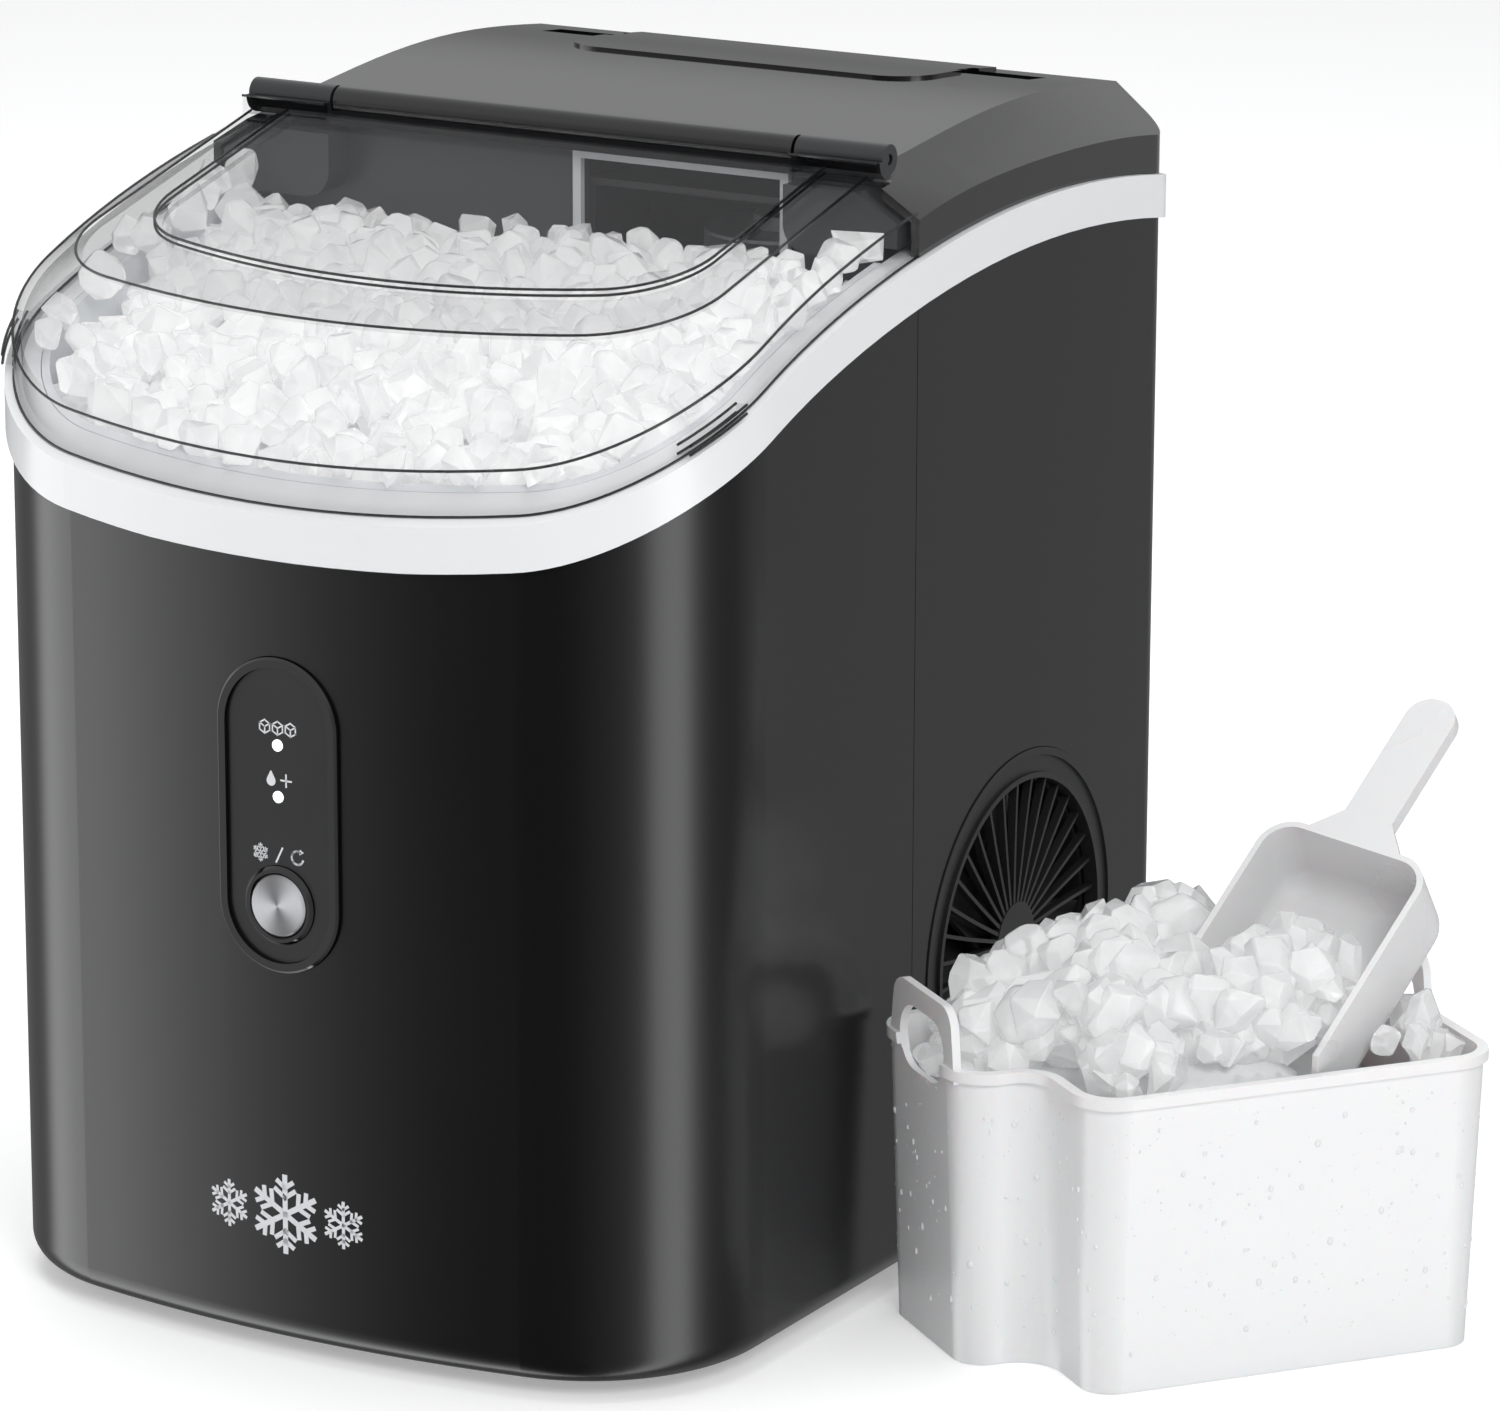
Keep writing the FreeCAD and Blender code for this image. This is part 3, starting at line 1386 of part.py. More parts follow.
def handle_loop(side):
    """A loop that rises from a side wall, with a finger slot through it."""
    half = size.basket_wide / 2
    wall = size.basket_wall + 0.4
    rim = size.basket_tall
    x = half - wall if side > 0 else -half
    profile = [
        point(x, HANDLE_FROM - 1, rim - 4),
        point(x, HANDLE_FROM + 2, rim + size.handle_rise),
        point(x, HANDLE_TO - 2, rim + size.handle_rise),
        point(x, HANDLE_TO + 1, rim - 4),
    ]
    tab = Part.Face(Part.makePolygon(profile + profile[:1])).extrude(ALONG_X * wall)
    upper = [
        e
        for e in tab.Edges
        if e.BoundBox.XLength > wall / 2 and e.BoundBox.ZMin > rim + size.handle_rise - 0.1
    ]
    tab = tab.makeFillet(7, upper)
    slot_low = rim - 8
    slot_high = rim + size.handle_rise - 6
    radius = (slot_high - slot_low) / 2
    middle = (slot_low + slot_high) / 2
    start = HANDLE_FROM + 6 + radius
    end = HANDLE_TO - 6 - radius
    slot = Part.makeBox(30, end - start, 2 * radius, point(x - 10, start, slot_low))
    ends = [
        Part.makeCylinder(radius, 30, point(x - 10, along, middle), ALONG_X) for along in (start, end)
    ]
    return tab, slot.multiFuse(ends)


def basket():
    draft = 3.0
    foot = stepped_outline(draft, 0)
    rim = stepped_outline(0, size.basket_tall)
    outer = Part.makeLoft([foot, rim], True, True)
    wall = size.basket_wall
    inner_foot = stepped_outline(draft + wall, wall)
    inner_rim = stepped_outline(wall, size.basket_tall + 0.01)
    inner = Part.makeLoft([inner_foot, inner_rim], True, True)
    band_low = size.basket_tall - 3
    lip = prism(stepped_outline(-1.2, band_low), 3).cut(prism(stepped_outline(wall - 0.5, band_low - 1), 6))
    shape = outer.fuse(lip).cut(inner)
    tabs = []
    slots = []
    for side in (-1, 1):
        tab, slot = handle_loop(side)
        tabs.append(tab)
        slots.append(slot)
    shape = shape.multiFuse(tabs).cut(Part.makeCompound(slots))
    obj = solid(shape)
    obj.Placement = basket_frame()
    node("basket", obj)


def bowl_form(inset):
    """The scoop bowl's outer form, or the space inside it, with its open side at Y = 0."""
    half = size.scoop_wide / 2 - inset
    corner = size.scoop_corner - inset
    turn = corner * (1 - math.sqrt(0.5))
    foot = -size.scoop_long
    depth = size.scoop_deep - inset
    left = [
        point(corner - half, 0, -inset),
        point(turn - half, 0, -inset - turn),
        point(-half, 0, -inset - corner),
    ]
    right = [point(-p.x, 0, p.z) for p in left]
    edges = [
        Part.Arc(*left).toShape(),
        Part.makeLine(left[2], point(-half, 0, foot)),
        Part.makeLine(point(-half, 0, foot), point(half, 0, foot)),
        Part.makeLine(point(half, 0, foot), right[2]),
        Part.Arc(*reversed(right)).toShape(),
        Part.makeLine(right[0], left[0]),
    ]
    block = Part.Face(Part.Wire(edges)).extrude(ALONG_Y * -depth)
    back = [
        e
        for e in block.Edges
        if e.BoundBox.YMax < 1e-6 - depth and e.BoundBox.ZMax > foot + 1e-6
    ]
    return block.makeFillet(0.8 * corner, back)


HANDLE_HALF = 7.5
HANDLE_THICK = 4.5
NOSE_SLANT = 32.0


def scoop():
    """A scoop standing on its nose: the handle runs up and the bowl opens towards +Y."""
    half = size.scoop_wide / 2
    wall = size.scoop_wall
    bowl = bowl_form(0).cut(bowl_form(wall))
    nose = Part.makeBox(4 * half, 60, 60, point(-2 * half, 0, -60))
    nose.rotate(ORIGIN, ALONG_X, NOSE_SLANT)
    nose.translate(point(0, -size.scoop_deep, -size.scoop_long))
    bowl = bowl.cut(nose)
    back = -HANDLE_THICK
    handle = Part.makeBox(
        2 * HANDLE_HALF, HANDLE_THICK, size.scoop_handle, point(-HANDLE_HALF, back, -wall)
    )
    ends = [e for e in handle.Edges if e.BoundBox.YLength > 4 and e.BoundBox.ZMin > 10]
    handle = handle.makeFillet(HANDLE_HALF - 0.3, ends)
    neck_profile = [
        point(-half + size.scoop_corner, back, -wall),
        point(half - size.scoop_corner, back, -wall),
        point(HANDLE_HALF, back, 8),
        point(-HANDLE_HALF, back, 8),
    ]
    neck = Part.Face(Part.makePolygon(neck_profile + neck_profile[:1])).extrude(ALONG_Y * HANDLE_THICK)
    return bowl.multiFuse([handle, neck])


SCOOP_ACROSS = 50.0
SCOOP_PLACE = 0.7
SCOOP_TALL = 133.8


def scoop_in_basket():
    shape = scoop()
    shape.rotate(ORIGIN, UP, size.scoop_roll)
    shape.rotate(ORIGIN, ALONG_X, 90 - size.scoop_lean)
    shape.rotate(ORIGIN, UP, size.scoop_turn)
    shape.translate(point(SCOOP_ACROSS, SCOOP_PLACE, SCOOP_TALL))
    obj = solid(shape)
    obj.Placement = basket_frame().multiply(shape.Placement)
    node("scoop", obj)


# ---------------------------------------------------------------- build and write
casing()
base_pan()
rubber_feet()
top_trim()
rear_cover()
lid()
inner_bin()
bin_rear_wall()
outlet_frame()
outlet_chute()
control_panel()
fan_grille()
fan_unit()
condenser_coil()
compressor()
refrigerant_lines()
freezing_unit()
water_unit()
electrics()
rear_screws()
basket()
scoop_in_basket()

doc.recompute()
faults = []
for obj in doc.Objects:
    if "Invalid" in obj.State or "Error" in obj.State:
        faults.append(f"{obj.Name} {obj.State}")
for obj in nodes:
    if obj.Shape.isNull() or not obj.Shape.isValid() or not obj.Shape.Solids:
        faults.append(f"{obj.Label} has no valid solid")
if faults:
    raise RuntimeError("; ".join(faults))
os.makedirs("parts", exist_ok=True)
for obj in nodes:
    obj.Shape.exportStep(f"parts/{obj.Label}.step")
    print(obj.Label, len(obj.Shape.Solids), round(obj.Shape.Volume))
print(len(nodes), "nodes")
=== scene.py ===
import json
import math
import random

import bmesh
import bpy
import numpy as np
from mathutils import Euler, Matrix, Vector, noise
from mathutils.bvhtree import BVHTree


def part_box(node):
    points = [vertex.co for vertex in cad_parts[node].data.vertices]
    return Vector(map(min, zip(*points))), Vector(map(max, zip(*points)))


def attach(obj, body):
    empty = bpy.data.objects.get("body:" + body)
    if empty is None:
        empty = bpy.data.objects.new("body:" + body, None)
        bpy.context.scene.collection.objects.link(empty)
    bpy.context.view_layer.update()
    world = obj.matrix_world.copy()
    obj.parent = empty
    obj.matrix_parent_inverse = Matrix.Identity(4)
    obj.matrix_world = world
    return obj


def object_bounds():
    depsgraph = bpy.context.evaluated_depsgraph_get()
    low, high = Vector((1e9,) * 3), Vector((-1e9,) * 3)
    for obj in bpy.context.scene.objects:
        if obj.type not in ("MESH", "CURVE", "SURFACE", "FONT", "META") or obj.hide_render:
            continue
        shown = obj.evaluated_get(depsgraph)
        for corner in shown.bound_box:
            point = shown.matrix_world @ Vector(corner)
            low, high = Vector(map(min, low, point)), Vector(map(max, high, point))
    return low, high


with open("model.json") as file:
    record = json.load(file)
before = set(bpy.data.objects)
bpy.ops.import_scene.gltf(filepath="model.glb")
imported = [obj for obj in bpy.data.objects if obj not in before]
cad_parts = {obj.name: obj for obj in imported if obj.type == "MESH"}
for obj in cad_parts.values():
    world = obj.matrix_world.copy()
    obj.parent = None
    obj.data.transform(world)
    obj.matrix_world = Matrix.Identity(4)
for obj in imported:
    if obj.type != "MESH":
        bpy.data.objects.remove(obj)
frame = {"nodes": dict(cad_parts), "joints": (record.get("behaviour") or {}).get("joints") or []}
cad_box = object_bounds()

NODES = frame["nodes"]
MM = 0.001
UP = Vector((0, 0, 1))
DOWN = Vector((0, 0, -1))
REARWARD = Vector((0, 1, 0))


# ------------------------------------------------------------------ shader helpers
def feed(tree, entry, source):
    """Links a socket to an entry, or sets the entry to a plain value."""
    if isinstance(source, bpy.types.NodeSocket):
        tree.links.new(source, entry)
    else:
        entry.default_value = source


def math_node(tree, operation, *sources):
    node = tree.nodes.new("ShaderNodeMath")
    node.operation = operation
    for entry, source in zip(node.inputs, sources):
        feed(tree, entry, source)
    return node.outputs[0]


def vector_node(tree, operation, *sources):
    node = tree.nodes.new("ShaderNodeVectorMath")
    node.operation = operation
    for entry, source in zip(node.inputs, sources):
        feed(tree, entry, source)
    return node.outputs["Value" if operation == "LENGTH" else "Vector"]


def map_range(tree, value, low, high, start=0.0, end=1.0, interpolation="LINEAR"):
    """Stretches a value that runs from start to end so that it runs from low to high."""
    node = tree.nodes.new("ShaderNodeMapRange")
    node.interpolation_type = interpolation
    node.inputs["From Min"].default_value = start
    node.inputs["From Max"].default_value = end
    node.inputs["To Min"].default_value = low
    node.inputs["To Max"].default_value = high
    tree.links.new(value, node.inputs["Value"])
    return node.outputs["Result"]


def blend(tree, kind, factor, first, second):
    """Mixes two numbers (FLOAT) or two colours (RGBA)."""
    node = tree.nodes.new("ShaderNodeMix")
    node.data_type = kind
    feed(tree, node.inputs["Factor"], factor)
    feed(tree, node.inputs["A"], first)
    feed(tree, node.inputs["B"], second)
    return node.outputs["Result"]


def color_ramp(tree, value, stops):
    """Colours along a value, from (place, colour) stops."""
    node = tree.nodes.new("ShaderNodeValToRGB")
    for k, (place, color) in enumerate(stops):
        stop = node.color_ramp.elements[k] if k < 2 else node.color_ramp.elements.new(place)
        stop.position = place
        stop.color = (*color, 1)
    tree.links.new(value, node.inputs["Fac"])
    return node.outputs["Color"]


def object_place(tree):
    return tree.nodes.new("ShaderNodeTexCoord").outputs["Object"]


def object_noise(tree, scale, detail):
    """Cloudy noise fixed to the object."""
    cloud = tree.nodes.new("ShaderNodeTexNoise")
    cloud.inputs["Scale"].default_value = scale
    cloud.inputs["Detail"].default_value = detail
    tree.links.new(object_place(tree), cloud.inputs["Vector"])
    return cloud.outputs["Fac"]


def relief(tree, height, strength, depth):
    """Small bumps on the surface, from a height."""
    rise = tree.nodes.new("ShaderNodeBump")
    rise.inputs["Strength"].default_value = strength
    rise.inputs["Distance"].default_value = depth
    tree.links.new(height, rise.inputs["Height"])
    tree.links.new(rise.outputs["Normal"], tree.nodes["Principled BSDF"].inputs["Normal"])


# ------------------------------------------------------------------ materials
def material(
    name, color, rough, vary=0.08, grain=60.0, bump=0.05, bump_grain=900.0, rough_vary=0.06, **sockets
):
    """A moulded, painted or cast surface: colour and gloss drift a little, over a fine texture."""
    made = bpy.data.materials.new(name)
    made.use_nodes = True
    tree = made.node_tree
    shader = tree.nodes["Principled BSDF"]
    cloud = object_noise(tree, grain, 4.0)
    darker = (*[c * (1 - vary) for c in color], 1)
    lighter = (*[min(1, c * (1 + vary)) for c in color], 1)
    tree.links.new(blend(tree, "RGBA", cloud, darker, lighter), shader.inputs["Base Color"])
    gloss = map_range(tree, cloud, max(0.0, rough - rough_vary), min(1.0, rough + rough_vary))
    tree.links.new(gloss, shader.inputs["Roughness"])
    if bump:
        relief(tree, object_noise(tree, bump_grain, 2.0), bump, 0.4 * MM)
    for key, value in sockets.items():
        shader.inputs[key.replace("_", " ")].default_value = value
    made.diffuse_color = (*color, 1)
    return made


def clear_plastic(name, tint, thin, thick, axis, solid_reach):
    """Clear plastic: nearly open where it is faced, darker edge-on, solid near the axis along X."""
    made = material(name, tint, 0.05, vary=0.2, grain=18, bump=0, rough_vary=0.02, Specular_IOR_Level=0.6)
    tree = made.node_tree
    slant = tree.nodes.new("ShaderNodeLayerWeight")
    slant.inputs["Blend"].default_value = 0.5
    cover = map_range(tree, math_node(tree, "POWER", slant.outputs["Facing"], 3.5), thin, thick)
    shift = vector_node(tree, "SUBTRACT", object_place(tree), axis)
    off_axis = vector_node(tree, "LENGTH", vector_node(tree, "MULTIPLY", shift, (0, 1, 1)))
    near = math_node(tree, "LESS_THAN", off_axis, solid_reach)
    tree.links.new(math_node(tree, "MAXIMUM", cover, near), tree.nodes["Principled BSDF"].inputs["Alpha"])
    return made


def turned_metal(name, color, rough, centre):
    """Metal turned on a lathe: fine rings about its middle, and a fan-shaped sheen painted into its colour
    by angle round the middle.
    """
    made = material(name, color, rough, vary=0.05, grain=200, bump=0, Metallic=1.0, Anisotropic=0.7)
    tree = made.node_tree
    shader = tree.nodes["Principled BSDF"]
    shift = vector_node(tree, "SUBTRACT", object_place(tree), centre)
    off_axis = vector_node(tree, "LENGTH", vector_node(tree, "MULTIPLY", shift, (1, 0, 1)))
    rings = tree.nodes.new("ShaderNodeTexNoise")
    rings.noise_dimensions = "1D"
    rings.inputs["Scale"].default_value = 6000
    tree.links.new(off_axis, rings.inputs["W"])
    relief(tree, rings.outputs["Fac"], 0.12, 0.05 * MM)
    turn = tree.nodes.new("ShaderNodeTangent")
    turn.direction_type = "RADIAL"
    turn.axis = "Y"
    tree.links.new(turn.outputs["Tangent"], shader.inputs["Tangent"])
    # Painted highlight: the base colour is lightened and darkened by angle round the middle, drawing a
    # fan-shaped sheen.
    parts = tree.nodes.new("ShaderNodeSeparateXYZ")
    tree.links.new(shift, parts.inputs[0])
    angle = math_node(tree, "ARCTAN2", parts.outputs["Z"], parts.outputs["X"])
    wave = math_node(tree, "SINE", math_node(tree, "MULTIPLY_ADD", angle, 2.0, 1.0))
    painted_sheen = map_range(tree, wave, 0.3, 1.0, start=-1.0)
    painted_light_tone = tree.nodes.new("ShaderNodeVectorMath")
    painted_light_tone.operation = "SCALE"
    tree.links.new(shader.inputs["Base Color"].links[0].from_socket, painted_light_tone.inputs[0])
    tree.links.new(painted_sheen, painted_light_tone.inputs["Scale"])
    tree.links.new(painted_light_tone.outputs[0], shader.inputs["Base Color"])
    return made


def ice_material(name, clear, cloudy, bright, edge, glow):
    """Frozen water: a clear skin over a cloudy heart, with painted shade making it greyer where it is seen
    at a slant, and a faint painted glow that lifts its shade.
    """
    made = material(
        name, bright, 0.1, vary=0.0, grain=120, bump=0.35, bump_grain=300, rough_vary=0.08,
        IOR=1.31, Transmission_Weight=clear, Specular_IOR_Level=0.8, Coat_Weight=0.5, Coat_Roughness=0.03,
        # Painted light: a faint white glow that lifts the shaded ice.
        Emission_Color=(1, 1, 1, 1), Emission_Strength=glow,
    )
    tree = made.node_tree
    heart = color_ramp(tree, object_noise(tree, 95, 3.0), [(0.36, cloudy), (0.6, bright)])
    # Painted shade: the colour turns to the edge grey where the surface is seen at a slant.
    slant = tree.nodes.new("ShaderNodeLayerWeight")
    slant.inputs["Blend"].default_value = 0.35
    painted_light_tone = blend(tree, "RGBA", slant.outputs["Facing"], heart, (*edge, 1))
    tree.links.new(painted_light_tone, tree.nodes["Principled BSDF"].inputs["Base Color"])
    return made


def finned(name):
    """Stacked aluminium fins, seen as fine bright and dark lines."""
    made = material(name, (0.62, 0.64, 0.66), 0.35, Metallic=1.0, bump=0)
    tree = made.node_tree
    lines = tree.nodes.new("ShaderNodeTexWave")
    lines.bands_direction = "Y"
    lines.inputs["Scale"].default_value = 160
    tree.links.new(object_place(tree), lines.inputs["Vector"])
    relief(tree, lines.outputs["Fac"], 0.8, 1.0 * MM)
    return made


HINGE_AXIS = next(j["pos_m"] for j in frame["joints"] if j["name"] == "lid_hinge")
BARREL_REACH = 5.6 * MM
BUTTON_LOW, BUTTON_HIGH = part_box("start_button")
BUTTON_MIDDLE = (BUTTON_LOW + BUTTON_HIGH) / 2
ICE_CLOUDY = (0.9, 0.9, 0.905)
ICE_BRIGHT = (1.0, 1.0, 1.0)
ICE_PAINTED_EDGE_SHADE = (0.6, 0.61, 0.62)
MAT = {
    "shell": material(
        "satin_black", (0.0055, 0.0055, 0.006), 0.24, vary=0.12, grain=9, bump=0.03, bump_grain=1500,
        rough_vary=0.02, Specular_IOR_Level=0.5,
    ),
    "powder": material("powder_black", (0.012, 0.012, 0.013), 0.5, bump=0.3, bump_grain=1300),
    "trim": material("white_gloss", (0.84, 0.85, 0.86), 0.22, vary=0.02, grain=12, bump=0.02),
    "piano": material(
        "gloss_black", (0.004, 0.004, 0.0045), 0.1, vary=0.1, grain=8, bump=0.01, bump_grain=300,
        rough_vary=0.02, Coat_Weight=0.5, Coat_Roughness=0.03,
    ),
    "fascia": material("panel_black", (0.006, 0.006, 0.007), 0.3, vary=0.1, bump=0.02),
    "lid": clear_plastic("smoky_clear", (0.02, 0.021, 0.023), 0.06, 0.85, HINGE_AXIS, BARREL_REACH),
    # Painted shade: the dark, partly see-through beads laid along the lid's bends.
    "crease": material("painted_crease_shade", (0.012, 0.012, 0.013), 0.12, bump=0.01, Alpha=0.8),
    "textured": material("textured_black", (0.015, 0.015, 0.016), 0.45, bump=0.2, bump_grain=1100),
    "dark_wall": material("dark_wall", (0.05, 0.052, 0.055), 0.3, bump=0.05),
    "liner": material("white_liner", (0.8, 0.82, 0.84), 0.3, vary=0.03, bump=0.03),
    "lens": material(
        "lamp_lens", (0.9, 0.92, 0.95), 0.2, bump=0, Emission_Color=(0.95, 0.98, 1, 1), Emission_Strength=1.4
    ),
    "button": turned_metal("turned_aluminium", (0.74, 0.74, 0.76), 0.26, BUTTON_MIDDLE),
    "steel": material("brushed_steel", (0.6, 0.61, 0.63), 0.32, bump=0.08, Metallic=1.0),
    "zinc": material("zinc_plate", (0.5, 0.52, 0.55), 0.4, vary=0.15, grain=35, bump=0.1, Metallic=1.0),
    "copper": material("drawn_copper", (0.72, 0.36, 0.22), 0.28, vary=0.15, bump=0.05, Metallic=1.0),
    "fins": finned("fin_stack"),
    "board": material(
        "circuit_green", (0.015, 0.12, 0.045), 0.35, vary=0.35, grain=220, bump=0.4, bump_grain=500
    ),
    "rubber": material("soft_rubber", (0.014, 0.014, 0.014), 0.7, bump=0.25, bump_grain=700),
    "enamel": material("black_enamel", (0.008, 0.008, 0.009), 0.2, bump=0.05),
    "foam": material("closed_foam", (0.04, 0.04, 0.042), 0.85, bump=0.8, bump_grain=600),
    "natural": material(
        "natural_plastic", (0.62, 0.66, 0.69), 0.35, vary=0.05, bump=0.05,
        Subsurface_Weight=0.15, Subsurface_Scale=4 * MM,
    ),
    "basket": material(
        "white_basket", (0.85, 0.85, 0.852), 0.33, vary=0.025, grain=14, bump=0.05, bump_grain=700,
        Subsurface_Weight=0.2, Subsurface_Scale=3 * MM,
    ),
    "scoop": material(
        "white_scoop", (0.76, 0.765, 0.77), 0.28, vary=0.03, grain=20, bump=0.03,
        Subsurface_Weight=0.2, Subsurface_Scale=3 * MM,
    ),
    "print": material("grey_print", (0.72, 0.73, 0.75), 0.4, vary=0.05, grain=300, bump=0.03),
    # Both ices carry painted shade at their slanting edges and a faint painted glow.
    "bin_ice": ice_material("nugget_ice", 0.55, ICE_CLOUDY, ICE_BRIGHT, ICE_PAINTED_EDGE_SHADE, 0.16),
    "bed_ice": material("packed_ice", (0.8, 0.81, 0.82), 0.3, vary=0.2, grain=120, bump=0.9, bump_grain=160),
    "basket_ice": ice_material("clear_nugget_ice", 0.62, ICE_CLOUDY, ICE_BRIGHT, ICE_PAINTED_EDGE_SHADE, 0.09),
    "dew": material(
        "dew_drop", (0.84, 0.84, 0.845), 0.04, vary=0.0, bump=0, IOR=1.33,
        Coat_Weight=0.6, Coat_Roughness=0.02,
    ),
}
WEARS = {
    "shell": ["front_shell", "left_side_panel", "right_side_panel"],
    "powder": ["rear_panel", "base_pan"],
    "trim": ["top_trim"],
    "piano": ["rear_cover", "control_bezel", "button_collar", "hinge_pins"],
    "fascia": ["control_fascia"],
    "lid": ["lid"],
    "textured": ["fan_grille", "fan_shroud", "fan_rotor", "outlet_chute", "compressor_terminal_cover",
                 "cord_gland", "drain_spout", "fan_motor", "ice_level_sensor"],
    "dark_wall": ["bin_rear_wall"],
    "liner": ["inner_bin", "outlet_frame", "extruder_head"],
    "lens": ["indicator_lenses"],
    "button": ["start_button"],
    "steel": ["rear_screws", "freezing_barrel", "auger"],
    "zinc": ["machine_bracket", "gearmotor"],
    "copper": ["discharge_tube", "suction_tube", "filter_drier"],
    "fins": ["condenser_coil"],
    "board": ["control_board", "main_board"],
    "rubber": ["rubber_feet", "compressor_grommets", "feed_hose", "bin_drain_hose", "drain_plug"],
    "enamel": ["compressor"],
    "foam": ["barrel_insulation"],
    "natural": ["water_tank", "tank_lid", "float_stem", "water_pump", "level_float"],
    "basket": ["basket"],
    "scoop": ["scoop"],
}
for key, names in WEARS.items():
    for name in names:
        NODES[name].data.materials.clear()
        NODES[name].data.materials.append(MAT[key])
bare = sorted(set(NODES) - {n for names in WEARS.values() for n in names})
if bare:
    raise SystemExit(f"no material for {bare}")


# ------------------------------------------------------------------ mesh helpers
def place_piece(name, mesh, key, body):
    """An object for a finished mesh, riding a body."""
    mesh.materials.append(MAT[key])
    piece = bpy.data.objects.new(name, mesh)
    bpy.context.scene.collection.objects.link(piece)
    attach(piece, body)
    return piece


def new_piece(name, verts, faces, key, body, smooth=False):
    mesh = bpy.data.meshes.new(name)
    mesh.from_pydata([tuple(v) for v in verts], [], [tuple(f) for f in faces])
    mesh.validate()
    if smooth:
        mesh.shade_smooth()
    return place_piece(name, mesh, key, body)


def tree_of(*names):
    """The surfaces of some nodes together, for finding what lies along a ray."""
    verts, faces = [], []
    for name in names:
        mesh = NODES[name].data
        base = len(verts)
        verts += [v.co.copy() for v in mesh.vertices]
        faces += [[base + i for i in p.vertices] for p in mesh.polygons]
    return BVHTree.FromPolygons(verts, faces)


def stroke(points, width, closed=False):
    """Flat quads along a line of (x, z) points."""
    quads = []
    pairs = list(zip(points, points[1:]))
    if closed:
        pairs.append((points[-1], points[0]))
    for a, b in pairs:
        a, b = Vector(a), Vector(b)
        along = (b - a).normalized() * (width / 2)
        side = Vector((-along.y, along.x))
        a, b = a - along, b + along
        quads.append([a - side, b - side, b + side, a + side])
    return quads


IN_FRONT = -400 * MM
INK_SUNK = 0.1 * MM


def printed(name, shapes, surface, proud, key):
    """Thin ink: flat shapes in (x, z), laid on whatever surface is behind them."""
    verts, faces = [], []
    for shape in shapes:
        ring = [Vector(p) for p in shape]
        front, back = [], []
        for p in ring:
            hit = surface.ray_cast(Vector((p.x, IN_FRONT, p.y)), REARWARD)[0]
            hit = hit or surface.find_nearest(Vector((p.x, IN_FRONT / 2, p.y)))[0]
            front.append(Vector((p.x, hit.y - proud, p.y)))
            back.append(Vector((p.x, hit.y + INK_SUNK, p.y)))
        base = len(verts)
        count = len(ring)
        verts += front + back
        faces.append([base + i for i in range(count)])
        faces.append([base + count + i for i in reversed(range(count))])
        for i in range(count):
            j = (i + 1) % count
            faces.append([base + j, base + i, base + count + i, base + count + j])
    return new_piece(name, verts, faces, key, "machine")


def crystal(cx, cz, size):
    """A six-armed snow crystal."""
    shapes = []
    width = size * 0.075
    for k in range(6):
        turn = math.radians(30 + 60 * k)
        way = Vector((math.cos(turn), math.sin(turn)))
        tip = Vector((cx, cz)) + way * size / 2
        shapes += stroke([(cx, cz), tip], width)
        for share, reach in ((0.45, 0.17), (0.72, 0.13)):
            root = Vector((cx, cz)) + way * size / 2 * share
            for lean in (-55, 55):
                arm = Vector((math.cos(turn + math.radians(lean)), math.sin(turn + math.radians(lean))))
                shapes += stroke([root, root + arm * size * reach], width * 0.85)
    return shapes


def round_spot(cx, cz, reach, degrees):
    turn = math.radians(degrees)
    return cx + reach * math.cos(turn), cz + reach * math.sin(turn)


def small_cube(cx, cz, size):
    """A cube seen from its corner: a hexagon and three spokes."""
    width = size * 0.11
    ring = [round_spot(cx, cz, size / 2, 90 + 60 * k) for k in range(6)]
    shapes = stroke(ring, width, closed=True)
    for k in (1, 3, 5):
        shapes += stroke([(cx, cz), ring[k]], width)
    return shapes


def drop(cx, cz, size):
    """A water drop: a circle drawn up to a point."""
    reach = size * 0.34
    ring = []
    for k in range(20):
        turn = math.tau * k / 20
        pull = max(0.0, math.sin(turn)) ** 3
        across = reach * math.cos(turn) * (1 - 0.55 * pull)
        ring.append((cx + across, cz - size * 0.12 + reach * (math.sin(turn) + pull)))
    return [ring]


def turn_arrow(cx, cz, size):
    """An open circle with an arrowhead."""
    ring = [round_spot(cx, cz, size * 0.4, degrees) for degrees in range(60, 341, 20)]
    shapes = stroke(ring, size * 0.12)
    head = ((-0.02, 0.2), (0.24, 0.02), (-0.06, -0.16))
    shapes.append([Vector(ring[0]) + Vector(corner) * size for corner in head])
    return shapes


# ------------------------------------------------------------------ printed marks
ICON_OVER_LENS = 4.7 * MM
ICON_OVER_BUTTON = 13.9 * MM
ICON_LINE = 0.5 * MM
CUBE_STEP = 4.1 * MM
EMBLEM_TALL = 41.5 * MM
EMBLEM_STEP = 18.5 * MM

